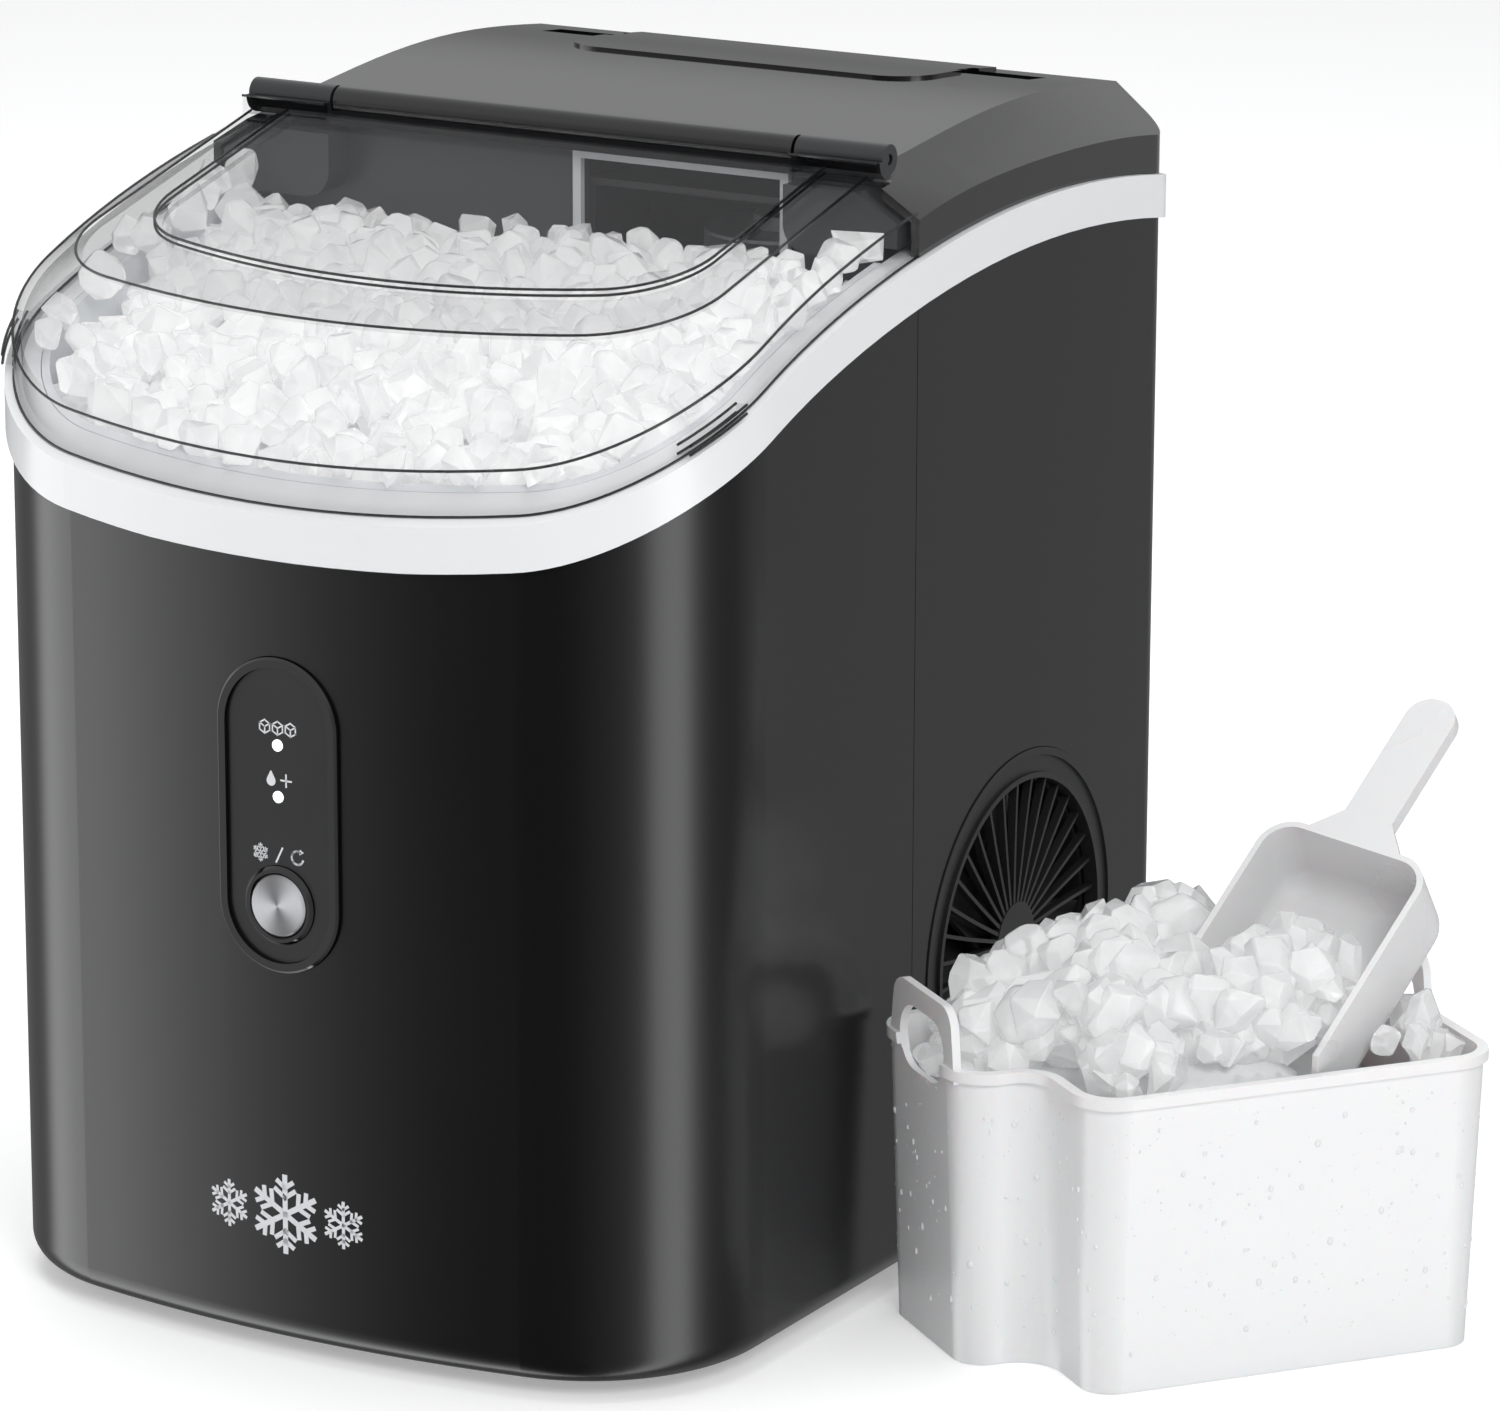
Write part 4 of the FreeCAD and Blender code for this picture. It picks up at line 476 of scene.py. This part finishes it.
lens_low, lens_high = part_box("indicator_lenses")
lens_radius = (lens_high.x - lens_low.x) / 2
full_tall = lens_high.z - lens_radius + ICON_OVER_LENS
water_tall = lens_low.z + lens_radius + ICON_OVER_LENS
clean_tall = BUTTON_MIDDLE.z + ICON_OVER_BUTTON
icons = []
for side in (-1, 0, 1):
    icons += small_cube(side * CUBE_STEP, full_tall, 3.7 * MM)
icons += drop(-2.3 * MM, water_tall, 4.2 * MM)
icons += stroke([(0.9 * MM, water_tall), (4.1 * MM, water_tall)], ICON_LINE)
icons += stroke([(2.5 * MM, water_tall - 1.6 * MM), (2.5 * MM, water_tall + 1.6 * MM)], ICON_LINE)
icons += crystal(-6.0 * MM, clean_tall, 4.8 * MM)
icons += stroke([(-1.0 * MM, clean_tall - 2.0 * MM), (1.0 * MM, clean_tall + 2.0 * MM)], ICON_LINE)
icons += turn_arrow(5.8 * MM, clean_tall, 4.6 * MM)
printed("panel_icons", icons, tree_of("control_fascia"), 0.06 * MM, "print")
emblem = crystal(0, EMBLEM_TALL, 21 * MM)
for side in (-1, 1):
    emblem += crystal(side * EMBLEM_STEP, EMBLEM_TALL, 12.5 * MM)
printed("front_emblem", emblem, tree_of("front_shell"), 0.08 * MM, "print")


# ------------------------------------------------------------------ lid creases, lined with painted shade
CREASE_LEAST = math.radians(13)
CREASE_SHORTEST = 12 * MM
CREASE_RADIUS = 0.4 * MM
CREASE_FROM_HINGE = 7 * MM
STRAIGHT_ENOUGH = 0.7


def next_crease(end, back, sharp):
    """The sharp edge that runs on most nearly straight from an end, or None."""
    way = (end.co - back.co).normalized()

    def straightness(edge):
        return way.dot((edge.other_vert(end).co - end.co).normalized())

    onward = [e for e in end.link_edges if e in sharp]
    best = max(onward, key=straightness, default=None)
    if best is None or straightness(best) < STRAIGHT_ENOUGH:
        return None
    return best


def crease_chains(mesh, keep):
    """Runs of sharp edges, each as a list of vertex places."""
    work = bmesh.new()
    work.from_mesh(mesh)
    bmesh.ops.remove_doubles(work, verts=work.verts, dist=0.01 * MM)
    sharp = {
        e for e in work.edges
        if len(e.link_faces) == 2 and e.calc_face_angle(0) > CREASE_LEAST
        and keep((e.verts[0].co + e.verts[1].co) / 2, e.link_faces[0].normal + e.link_faces[1].normal)
    }
    chains = []
    while sharp:
        edge = min(sharp, key=lambda e: e.index)
        sharp.discard(edge)
        chain = [edge.verts[0], edge.verts[1]]
        for _ in ("forwards", "backwards"):
            while step := next_crease(chain[-1], chain[-2], sharp):
                sharp.discard(step)
                chain.append(step.other_vert(chain[-1]))
            chain.reverse()
        chains.append([v.co.copy() for v in chain])
    work.free()
    return chains


def beads(name, chains, radius, key, body):
    """A thin round bead along each chain of places, made as one mesh."""
    verts, faces = [], []
    for chain in chains:
        rows = []
        for i, here in enumerate(chain):
            way = (chain[min(i + 1, len(chain) - 1)] - chain[max(i - 1, 0)]).normalized()
            side = way.orthogonal().normalized() if not rows else (side - way * side.dot(way)).normalized()
            other = way.cross(side)
            rows.append(len(verts))
            for k in range(6):
                turn = math.tau * k / 6
                verts.append(here + (side * math.cos(turn) + other * math.sin(turn)) * radius)
        for a, b in zip(rows, rows[1:]):
            faces += [(a + k, a + (k + 1) % 6, b + (k + 1) % 6, b + k) for k in range(6)]
        faces.append([rows[0] + k for k in reversed(range(6))])
        faces.append([rows[-1] + k for k in range(6)])
    return new_piece(name, verts, faces, key, body, smooth=True)


lid_low, lid_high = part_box("lid")
LID_HEART = Vector(((lid_low.x + lid_high.x) / 2, (lid_low.y + lid_high.y) / 2, lid_low.z))


def on_outer_skin(spot, facing):
    """True for an edge of the lid's outside, clear of the hinge."""
    return spot.y < HINGE_AXIS[1] - CREASE_FROM_HINGE and facing.dot(spot - LID_HEART) > 0


creases = [
    chain for chain in crease_chains(NODES["lid"].data, on_outer_skin)
    if sum((b - a).length for a, b in zip(chain, chain[1:])) > CREASE_SHORTEST
]
# Painted shade: dark, partly see-through beads along the lid's bends stand for the dark lines its clear
# plastic shows there.
beads("lid_crease_shade_lines", creases, CREASE_RADIUS, "crease", "lid")


# ------------------------------------------------------------------ ice
def nugget_shapes(count, seed):
    """Broken, slightly rounded lumps about one unit across."""
    picks = random.Random(seed)
    shapes = []
    for _ in range(count):
        lump = bmesh.new()
        stretch = Vector((picks.uniform(0.8, 1.1), picks.uniform(0.75, 1.0), picks.uniform(0.6, 0.95)))
        for _ in range(24):
            way = Vector((picks.gauss(0, 1), picks.gauss(0, 1), picks.gauss(0, 1))).normalized()
            reach = 0.5 / max(abs(way.x), abs(way.y), abs(way.z)) ** 0.7
            lump.verts.new([way[i] * reach * stretch[i] * picks.uniform(0.9, 1.0) for i in range(3)])
        made = bmesh.ops.convex_hull(lump, input=lump.verts)
        loose = [v for v in made["geom_interior"] + made["geom_unused"] if isinstance(v, bmesh.types.BMVert)]
        bmesh.ops.delete(lump, geom=list(set(loose)), context="VERTS")
        bmesh.ops.dissolve_limit(lump, angle_limit=math.radians(20), verts=lump.verts, edges=lump.edges)
        bmesh.ops.bevel(
            lump, geom=list(lump.edges), offset=0.075, segments=2, profile=0.5, affect="EDGES",
            clamp_overlap=True,
        )
        bmesh.ops.triangulate(lump, faces=lump.faces)
        lump.verts.index_update()
        verts = np.array([v.co for v in lump.verts])
        faces = np.array([[v.index for v in f.verts] for f in lump.faces])
        shapes.append((verts, faces))
        lump.free()
    return shapes


SHAPES = nugget_shapes(14, 5)


def scatter(name, spots, key, body, seed):
    """One mesh of many turned lumps, one at each (place, size)."""
    picks = random.Random(seed)
    verts, faces, base = [], [], 0
    for place, size in spots:
        shape_verts, shape_faces = SHAPES[picks.randrange(len(SHAPES))]
        turn = np.array(Euler([picks.uniform(0, math.tau) for _ in range(3)]).to_matrix())
        verts.append(shape_verts @ turn.T * size + np.array(place))
        faces.append(shape_faces + base)
        base += len(shape_verts)
    verts = np.concatenate(verts)
    faces = np.concatenate(faces)
    piece = new_piece(name, verts.tolist(), faces.tolist(), key, body, smooth=True)
    piece.modifiers.new("soft_edges", "WEIGHTED_NORMAL")
    return piece


def grid_spots(low, high, spacing, picks):
    """Staggered spots over a rectangle, each moved a little by chance."""
    x = low[0]
    row = 0
    while x < high[0]:
        y = low[1] + (row % 2) * spacing / 2
        while y < high[1]:
            stray = picks.uniform(-0.35, 0.35) * spacing
            yield x + stray, y + picks.uniform(-0.35, 0.35) * spacing
            y += spacing
        x += spacing * 0.87
        row += 1


def ring_round(x, y, reach):
    """A spot and eight more around it."""
    yield x, y
    for k in range(8):
        turn = math.tau * k / 8
        yield x + reach * math.cos(turn), y + reach * math.sin(turn)


OVERHEAD = 360 * MM


def surface_below(tree, x, y):
    """Height of the topmost surface at a spot, or far below where there is none."""
    hit = tree.ray_cast(Vector((x, y, OVERHEAD)), DOWN)[0]
    return hit.z if hit else -1.0


def free_below(tree, x, y, margin, floor):
    """True where a straight drop reaches the floor at this spot and all round it."""
    return all(-1.0 < surface_below(tree, a, b) <= floor for a, b in ring_round(x, y, margin))


lid_tree = tree_of("lid")
bin_tree = tree_of("inner_bin", "bin_rear_wall", "outlet_frame", "top_trim")
trim_tree = tree_of("top_trim")
bin_low, bin_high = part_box("inner_bin")
trim_low, trim_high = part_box("top_trim")
RIM_START = trim_low.y + 3 * MM
RIM_STEP = 4 * MM
RIM_WIDE = 28
BIN_FRONT_TALL = 243 * MM
BIN_RISE = 46 * MM
BIN_SLOPE_FROM = 12 * MM
BIN_SLOPE_LONG = 112 * MM
BIN_RIM_MOST = 288.5 * MM
BELOW_RIM = 2 * MM


def trim_top(y):
    """The highest the trim stands at a depth, searched inwards from its right side."""
    return max(surface_below(trim_tree, trim_high.x - RIM_STEP * (1 + i), y) for i in range(RIM_WIDE))


RIM_LINE = [
    trim_top(RIM_START + k * RIM_STEP) for k in range(int((bin_high.y - trim_low.y) / RIM_STEP) + 2)
]


def lid_underside(x, y):
    """The lid's inner surface straight above a spot, or None outside the lid."""
    hit = lid_tree.ray_cast(Vector((x, y, bin_low.z + 30 * MM)), UP)[0]
    return hit.z if hit else None


def rim_line(y):
    """Height of the trim's top at a depth, between the places where it was searched."""
    spot = min(max((y - RIM_START) / RIM_STEP, 0.0), len(RIM_LINE) - 1.001)
    k = int(spot)
    return RIM_LINE[k] + (RIM_LINE[k + 1] - RIM_LINE[k]) * (spot - k)


def ripple(x, y, grain, seed, tall):
    return tall * noise.noise(Vector((x * grain, y * grain, seed)))


def bin_heap(x, y):
    """Height of the ice in the bin: up to the rim at the sides, banked against the rear wall."""
    share = min(1.0, max(0.0, (y - bin_low.y - BIN_SLOPE_FROM) / BIN_SLOPE_LONG))
    tall = max(BIN_FRONT_TALL + BIN_RISE * share ** 0.8, min(rim_line(y), BIN_RIM_MOST) - BELOW_RIM)
    return tall + ripple(x, y, 38, 1.7, 5 * MM) + ripple(x, y, 90, 4.1, 3 * MM)


BIN_LAYERS = ((0.0, 8.8 * MM), (6.5 * MM, 9.8 * MM), (13 * MM, 12.5 * MM))
picks = random.Random(11)
bin_spots = []
for drop_by, spacing in BIN_LAYERS:
    for x, y in grid_spots((lid_low.x, lid_low.y), (lid_high.x, bin_high.y + 2 * MM), spacing, picks):
        size = picks.uniform(10.5 * MM, 15.5 * MM)
        z = bin_heap(x, y) - drop_by - picks.uniform(0, 3 * MM)
        roofs = [lid_underside(a, b) for a, b in ring_round(x, y, 0.46 * size)]
        if None in roofs:
            continue
        floor = max(surface_below(bin_tree, a, b) for a, b in ring_round(x, y, 0.4 * size))
        if floor + 0.3 * size > z:
            z = floor + 0.42 * size
            if drop_by > 0:
                continue
        z = min(z, min(roofs) - 0.52 * size)
        if z < floor + 0.3 * size:
            continue
        bin_spots.append(((x, y, z), size))
scatter("bin_nuggets", bin_spots, "bin_ice", "machine", 21)


BED_STEP = 4 * MM


def ice_bed(name, low, high, top_of, inside, depth, key, body):
    """The packed ice below the loose lumps, as one bumpy closed block."""
    work = bmesh.new()
    tops, bases = {}, {}
    for i in range(int((high[0] - low[0]) / BED_STEP) + 1):
        for j in range(int((high[1] - low[1]) / BED_STEP) + 1):
            x, y = low[0] + i * BED_STEP, low[1] + j * BED_STEP
            if inside(x, y):
                tops[i, j] = work.verts.new((x, y, top_of(x, y)))
                bases[i, j] = work.verts.new((x, y, depth))
    base_below = {tops[spot]: bases[spot] for spot in tops}
    for i, j in tops:
        corners = ((i, j), (i + 1, j), (i + 1, j + 1), (i, j + 1))
        if all(spot in tops for spot in corners):
            work.faces.new([tops[spot] for spot in corners])
            work.faces.new([bases[spot] for spot in reversed(corners)])
    brinks = [e.verts[:] for e in work.edges if e.is_boundary and e.verts[0] in base_below]
    for a, b in brinks:
        work.faces.new([a, b, base_below[b], base_below[a]])
    for vert in [v for v in work.verts if not v.link_faces]:
        work.verts.remove(vert)
    bmesh.ops.recalc_face_normals(work, faces=work.faces)
    mesh = bpy.data.meshes.new(name)
    work.to_mesh(mesh)
    work.free()
    mesh.shade_smooth()
    return place_piece(name, mesh, key, body)


ice_bed(
    "bin_ice_bed", bin_low, bin_high,
    lambda x, y: bin_heap(x, y) - 11 * MM,
    lambda x, y: free_below(bin_tree, x, y, 1.2 * MM, bin_low.z + 20 * MM),
    bin_low.z + 4 * MM, "bed_ice", "machine",
)


# ------------------------------------------------------------------ ice in the basket
basket_tree = tree_of("basket")
scoop_tree = tree_of("scoop")
basket_low, basket_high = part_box("basket")
basket_middle = (basket_low + basket_high) / 2
RIM = 84 * MM
BASKET_RISE = 24 * MM
BASKET_REACH = 78 * MM
BED_UNDER_RIM = 12 * MM
BED_RISE = 22 * MM
BED_REACH = 62 * MM


def from_middle(x, y, across=0.0):
    """How far a spot is from the basket's middle, or from a spot that far to its right."""
    return (Vector((x - across, y)) - Vector(basket_middle[:2])).length


def basket_heap(x, y):
    """A mound with a broad top over the basket's middle."""
    mound = BASKET_RISE * max(0.0, 1 - (from_middle(x, y, 2 * MM) / BASKET_REACH) ** 3)
    return RIM + 1 * MM + mound + ripple(x, y, 45, 9.3, 5 * MM)


def basket_bed_top(x, y):
    """The packed ice under the mound, kept below the rim near the walls."""
    return RIM - BED_UNDER_RIM + BED_RISE * max(0.0, 1 - (from_middle(x, y) / BED_REACH) ** 2)


def in_basket_bed(x, y):
    """True over the basket's floor, away from the scoop."""
    return free_below(basket_tree, x, y, 1.5 * MM, 50 * MM) and surface_below(scoop_tree, x, y) < 0


LARGE_LUMPS = (13.5 * MM, 20.5 * MM)
SMALL_LUMPS = (8.5 * MM, 11.5 * MM)
BASKET_LAYERS = (
    (0.0, 10.5 * MM, LARGE_LUMPS),
    (8 * MM, 11.2 * MM, LARGE_LUMPS),
    (16 * MM, 13.5 * MM, LARGE_LUMPS),
    (11 * MM, 7.5 * MM, SMALL_LUMPS),
)
picks = random.Random(12)
basket_spots = []
for drop_by, spacing, sizes in BASKET_LAYERS:
    for x, y in grid_spots(basket_low, basket_high, spacing, picks):
        size = picks.uniform(*sizes)
        if not free_below(basket_tree, x, y, 0.42 * size, 60 * MM):
            continue
        z = basket_heap(x, y) - drop_by - picks.uniform(0, 3 * MM)
        if scoop_tree.find_nearest(Vector((x, y, z)))[3] < size * 0.52:
            continue
        basket_spots.append(((x, y, z), size))
scatter("basket_nuggets", basket_spots, "basket_ice", "basket", 22)
ice_bed(
    "basket_ice_bed", basket_low, basket_high, basket_bed_top, in_basket_bed,
    6 * MM, "bed_ice", "basket",
)


# ------------------------------------------------------------------ dew on the basket
def outward_faces(mesh, middle):
    """Upright triangles that look away from the middle, and their areas."""
    mesh.calc_loop_triangles()
    tris, areas = [], []
    for triangle in mesh.loop_triangles:
        a, b, c = [mesh.vertices[i].co for i in triangle.vertices]
        normal = (b - a).cross(c - a)
        area = normal.length / 2
        if area < 1e-10:
            continue
        normal.normalize()
        spot = (a + b + c) / 3
        out = Vector((spot.x - middle.x, spot.y - middle.y, 0))
        if abs(normal.z) < 0.3 and normal.dot(out) > 4 * MM:
            tris.append((a, b, c, normal))
            areas.append(area)
    return tris, areas


def flat_dome(around):
    """A drop's shape, one unit in radius, as points and faces."""
    rings = ((0.38, 0.92), (0.71, 0.68), (0.95, 0.3), (1.0, -0.15))
    points = [(0.0, 0.0, 1.0)]
    for radius, tall in rings:
        for k in range(around):
            turn = math.tau * k / around
            points.append((radius * math.cos(turn), radius * math.sin(turn), tall))
    faces = [(0, 1 + k, 1 + (k + 1) % around) for k in range(around)]
    for start in range(1, 1 + around * (len(rings) - 1), around):
        for k in range(around):
            n = (k + 1) % around
            faces.append((start + k, start + around + k, start + around + n, start + n))
    return np.array(points), faces


DEW_COUNT = 900
DEW_LOW, DEW_HIGH = 10 * MM, 79 * MM
DEW_INSIDE = 2 * MM


def dew_drops(name, node, middle, seed, key, body):
    """Small drops on the outside of a wall, each flattened against it."""
    picks = random.Random(seed)
    tris, areas = outward_faces(NODES[node].data, middle)
    dome, dome_faces = flat_dome(10)
    verts, faces = [], []
    for _ in range(DEW_COUNT):
        a, b, c, normal = picks.choices(tris, areas)[0]
        u, v = picks.random(), picks.random()
        if u + v > 1:
            u, v = 1 - u, 1 - v
        spot = a + (b - a) * u + (c - a) * v
        if not DEW_LOW < spot.z < DEW_HIGH:
            continue
        size = 0.2 * MM + 0.7 * MM * picks.random() ** 4
        if not cad_box[0].x + DEW_INSIDE < spot.x < cad_box[1].x - DEW_INSIDE:
            continue
        side = normal.cross(UP).normalized()
        above = side.cross(normal).normalized()
        turn = np.array([side, above * picks.uniform(1.0, 1.5), normal * 0.55]).T
        base = len(verts)
        verts += (dome * size @ turn.T + np.array(spot)).tolist()
        faces += [[base + k for k in f] for f in dome_faces]
    return new_piece(name, verts, faces, key, body, smooth=True)


dew_drops("basket_dew", "basket", basket_middle, 31, "dew", "basket")


# ------------------------------------------------------------------ floor, light, camera
FLOOR_HALF = 6
FLOOR_GLOW = 0.32
FLOOR_SUNK = 0.2 * MM


def floor_plane():
    """A pale counter that glows a little for the camera alone."""
    mesh = bpy.data.meshes.new("floor")
    corners = [(x * FLOOR_HALF, y * FLOOR_HALF, 0) for x, y in ((-1, -1), (1, -1), (1, 1), (-1, 1))]
    mesh.from_pydata(corners, [], [(0, 1, 2, 3)])
    pale = material(
        "pale_floor", (0.9, 0.9, 0.905), 0.75, vary=0.01, grain=4, bump=0.02, Emission_Color=(1, 1, 1, 1)
    )
    tree = pale.node_tree
    path = tree.nodes.new("ShaderNodeLightPath")
    glow = math_node(tree, "MULTIPLY", path.outputs["Is Camera Ray"], FLOOR_GLOW)
    tree.links.new(glow, tree.nodes["Principled BSDF"].inputs["Emission Strength"])
    mesh.materials.append(pale)
    floor = bpy.data.objects.new("floor", mesh)
    bpy.context.scene.collection.objects.link(floor)
    floor.location.z = -FLOOR_SUNK
    floor.visible_glossy = False


# Brightness of the room by heading in degrees, 0 being in front of the machine.
ROOM = [
    (-180, 0.4), (-150, 0.2), (-94, 0.28), (-83, 3.1), (-60, 3.2), (-50, 2.2), (-42, 1.3), (-35, 0.7),
    (-27, 0.35), (-21, 0.08), (-5, 0.03), (20, 0.06), (48, 0.32), (62, 0.6), (69, 3.0), (85, 3.9),
    (94, 0.9), (103, 0.3), (122, 0.2), (134, 0.45), (150, 0.4), (180, 0.5),
]
ROOM_BRIGHTEST = 4
CEILING = 0.75
EVEN_LIGHT = 0.5
BACKDROP = 1.0


def studio_world():
    """Even pale light; for gloss, a room with tall soft windows at the left and the right."""
    world = bpy.data.worlds.new("studio")
    bpy.context.scene.world = world
    world.use_nodes = True
    tree = world.node_tree
    place = tree.nodes.new("ShaderNodeTexCoord")
    way = tree.nodes.new("ShaderNodeSeparateXYZ")
    tree.links.new(place.outputs["Generated"], way.inputs[0])
    ahead = math_node(tree, "MULTIPLY", way.outputs["Y"], -1)
    heading = math_node(tree, "ARCTAN2", way.outputs["X"], ahead)
    share = map_range(tree, heading, 0.0, 1.0, start=-math.pi, end=math.pi)
    stops = [((degrees + 180) / 360, (level / ROOM_BRIGHTEST,) * 3) for degrees, level in ROOM]
    walls = math_node(tree, "MULTIPLY", color_ramp(tree, share, stops), ROOM_BRIGHTEST)
    rise = map_range(tree, way.outputs["Z"], 0.0, 1.0, start=0.02, end=0.5, interpolation="SMOOTHSTEP")
    room = blend(tree, "FLOAT", rise, walls, CEILING)
    path = tree.nodes.new("ShaderNodeLightPath")
    lighting = blend(tree, "FLOAT", path.outputs["Is Glossy Ray"], EVEN_LIGHT, room)
    shown = blend(tree, "FLOAT", path.outputs["Is Camera Ray"], lighting, BACKDROP)
    ground = tree.nodes["Background"]
    tree.links.new(shown, ground.inputs["Strength"])
    ground.inputs["Color"].default_value = (0.985, 0.99, 1, 1)


def soft_light(name, place, aim, wide, power):
    data = bpy.data.lights.new(name, "AREA")
    data.shape = "SQUARE"
    data.size = wide
    data.energy = power
    light = bpy.data.objects.new(name, data)
    bpy.context.scene.collection.objects.link(light)
    light.location = place
    light.rotation_mode = "QUATERNION"
    light.rotation_quaternion = (Vector(aim) - Vector(place)).to_track_quat("-Z", "Y")
    light.visible_glossy = False
    return light


floor_plane()
studio_world()
soft_light("key", (1.5, -1.3, 1.5), (0.05, 0, 0.12), 0.9, 20)
soft_light("top", (-0.2, 0.3, 2.0), (0.05, 0, 0.1), 1.6, 20)
soft_light("fill", (-1.6, -1.6, 0.9), (0, 0, 0.15), 1.2, 7)

CAMERA_PLACE = Vector((0.99491, -1.60859, 0.65807))
CAMERA_WAY = Vector((-0.48515, 0.83511, -0.25926)).normalized()
CAMERA_ROLL = math.radians(0.175)
camera_data = bpy.data.cameras.new("camera")
camera_data.lens = 165.7
camera_data.sensor_width = 36
camera_data.clip_start = 0.05
camera_data.clip_end = 30
camera = bpy.data.objects.new("camera", camera_data)
bpy.context.scene.collection.objects.link(camera)
level = CAMERA_WAY.cross(UP).normalized()
plumb = level.cross(CAMERA_WAY)
right = level * math.cos(CAMERA_ROLL) + plumb * math.sin(CAMERA_ROLL)
above = plumb * math.cos(CAMERA_ROLL) - level * math.sin(CAMERA_ROLL)
axes = Matrix((right, above, -CAMERA_WAY)).transposed().to_4x4()
camera.matrix_world = Matrix.Translation(CAMERA_PLACE) @ axes
bpy.context.scene.camera = camera
bpy.context.scene.view_settings.view_transform = "Standard"
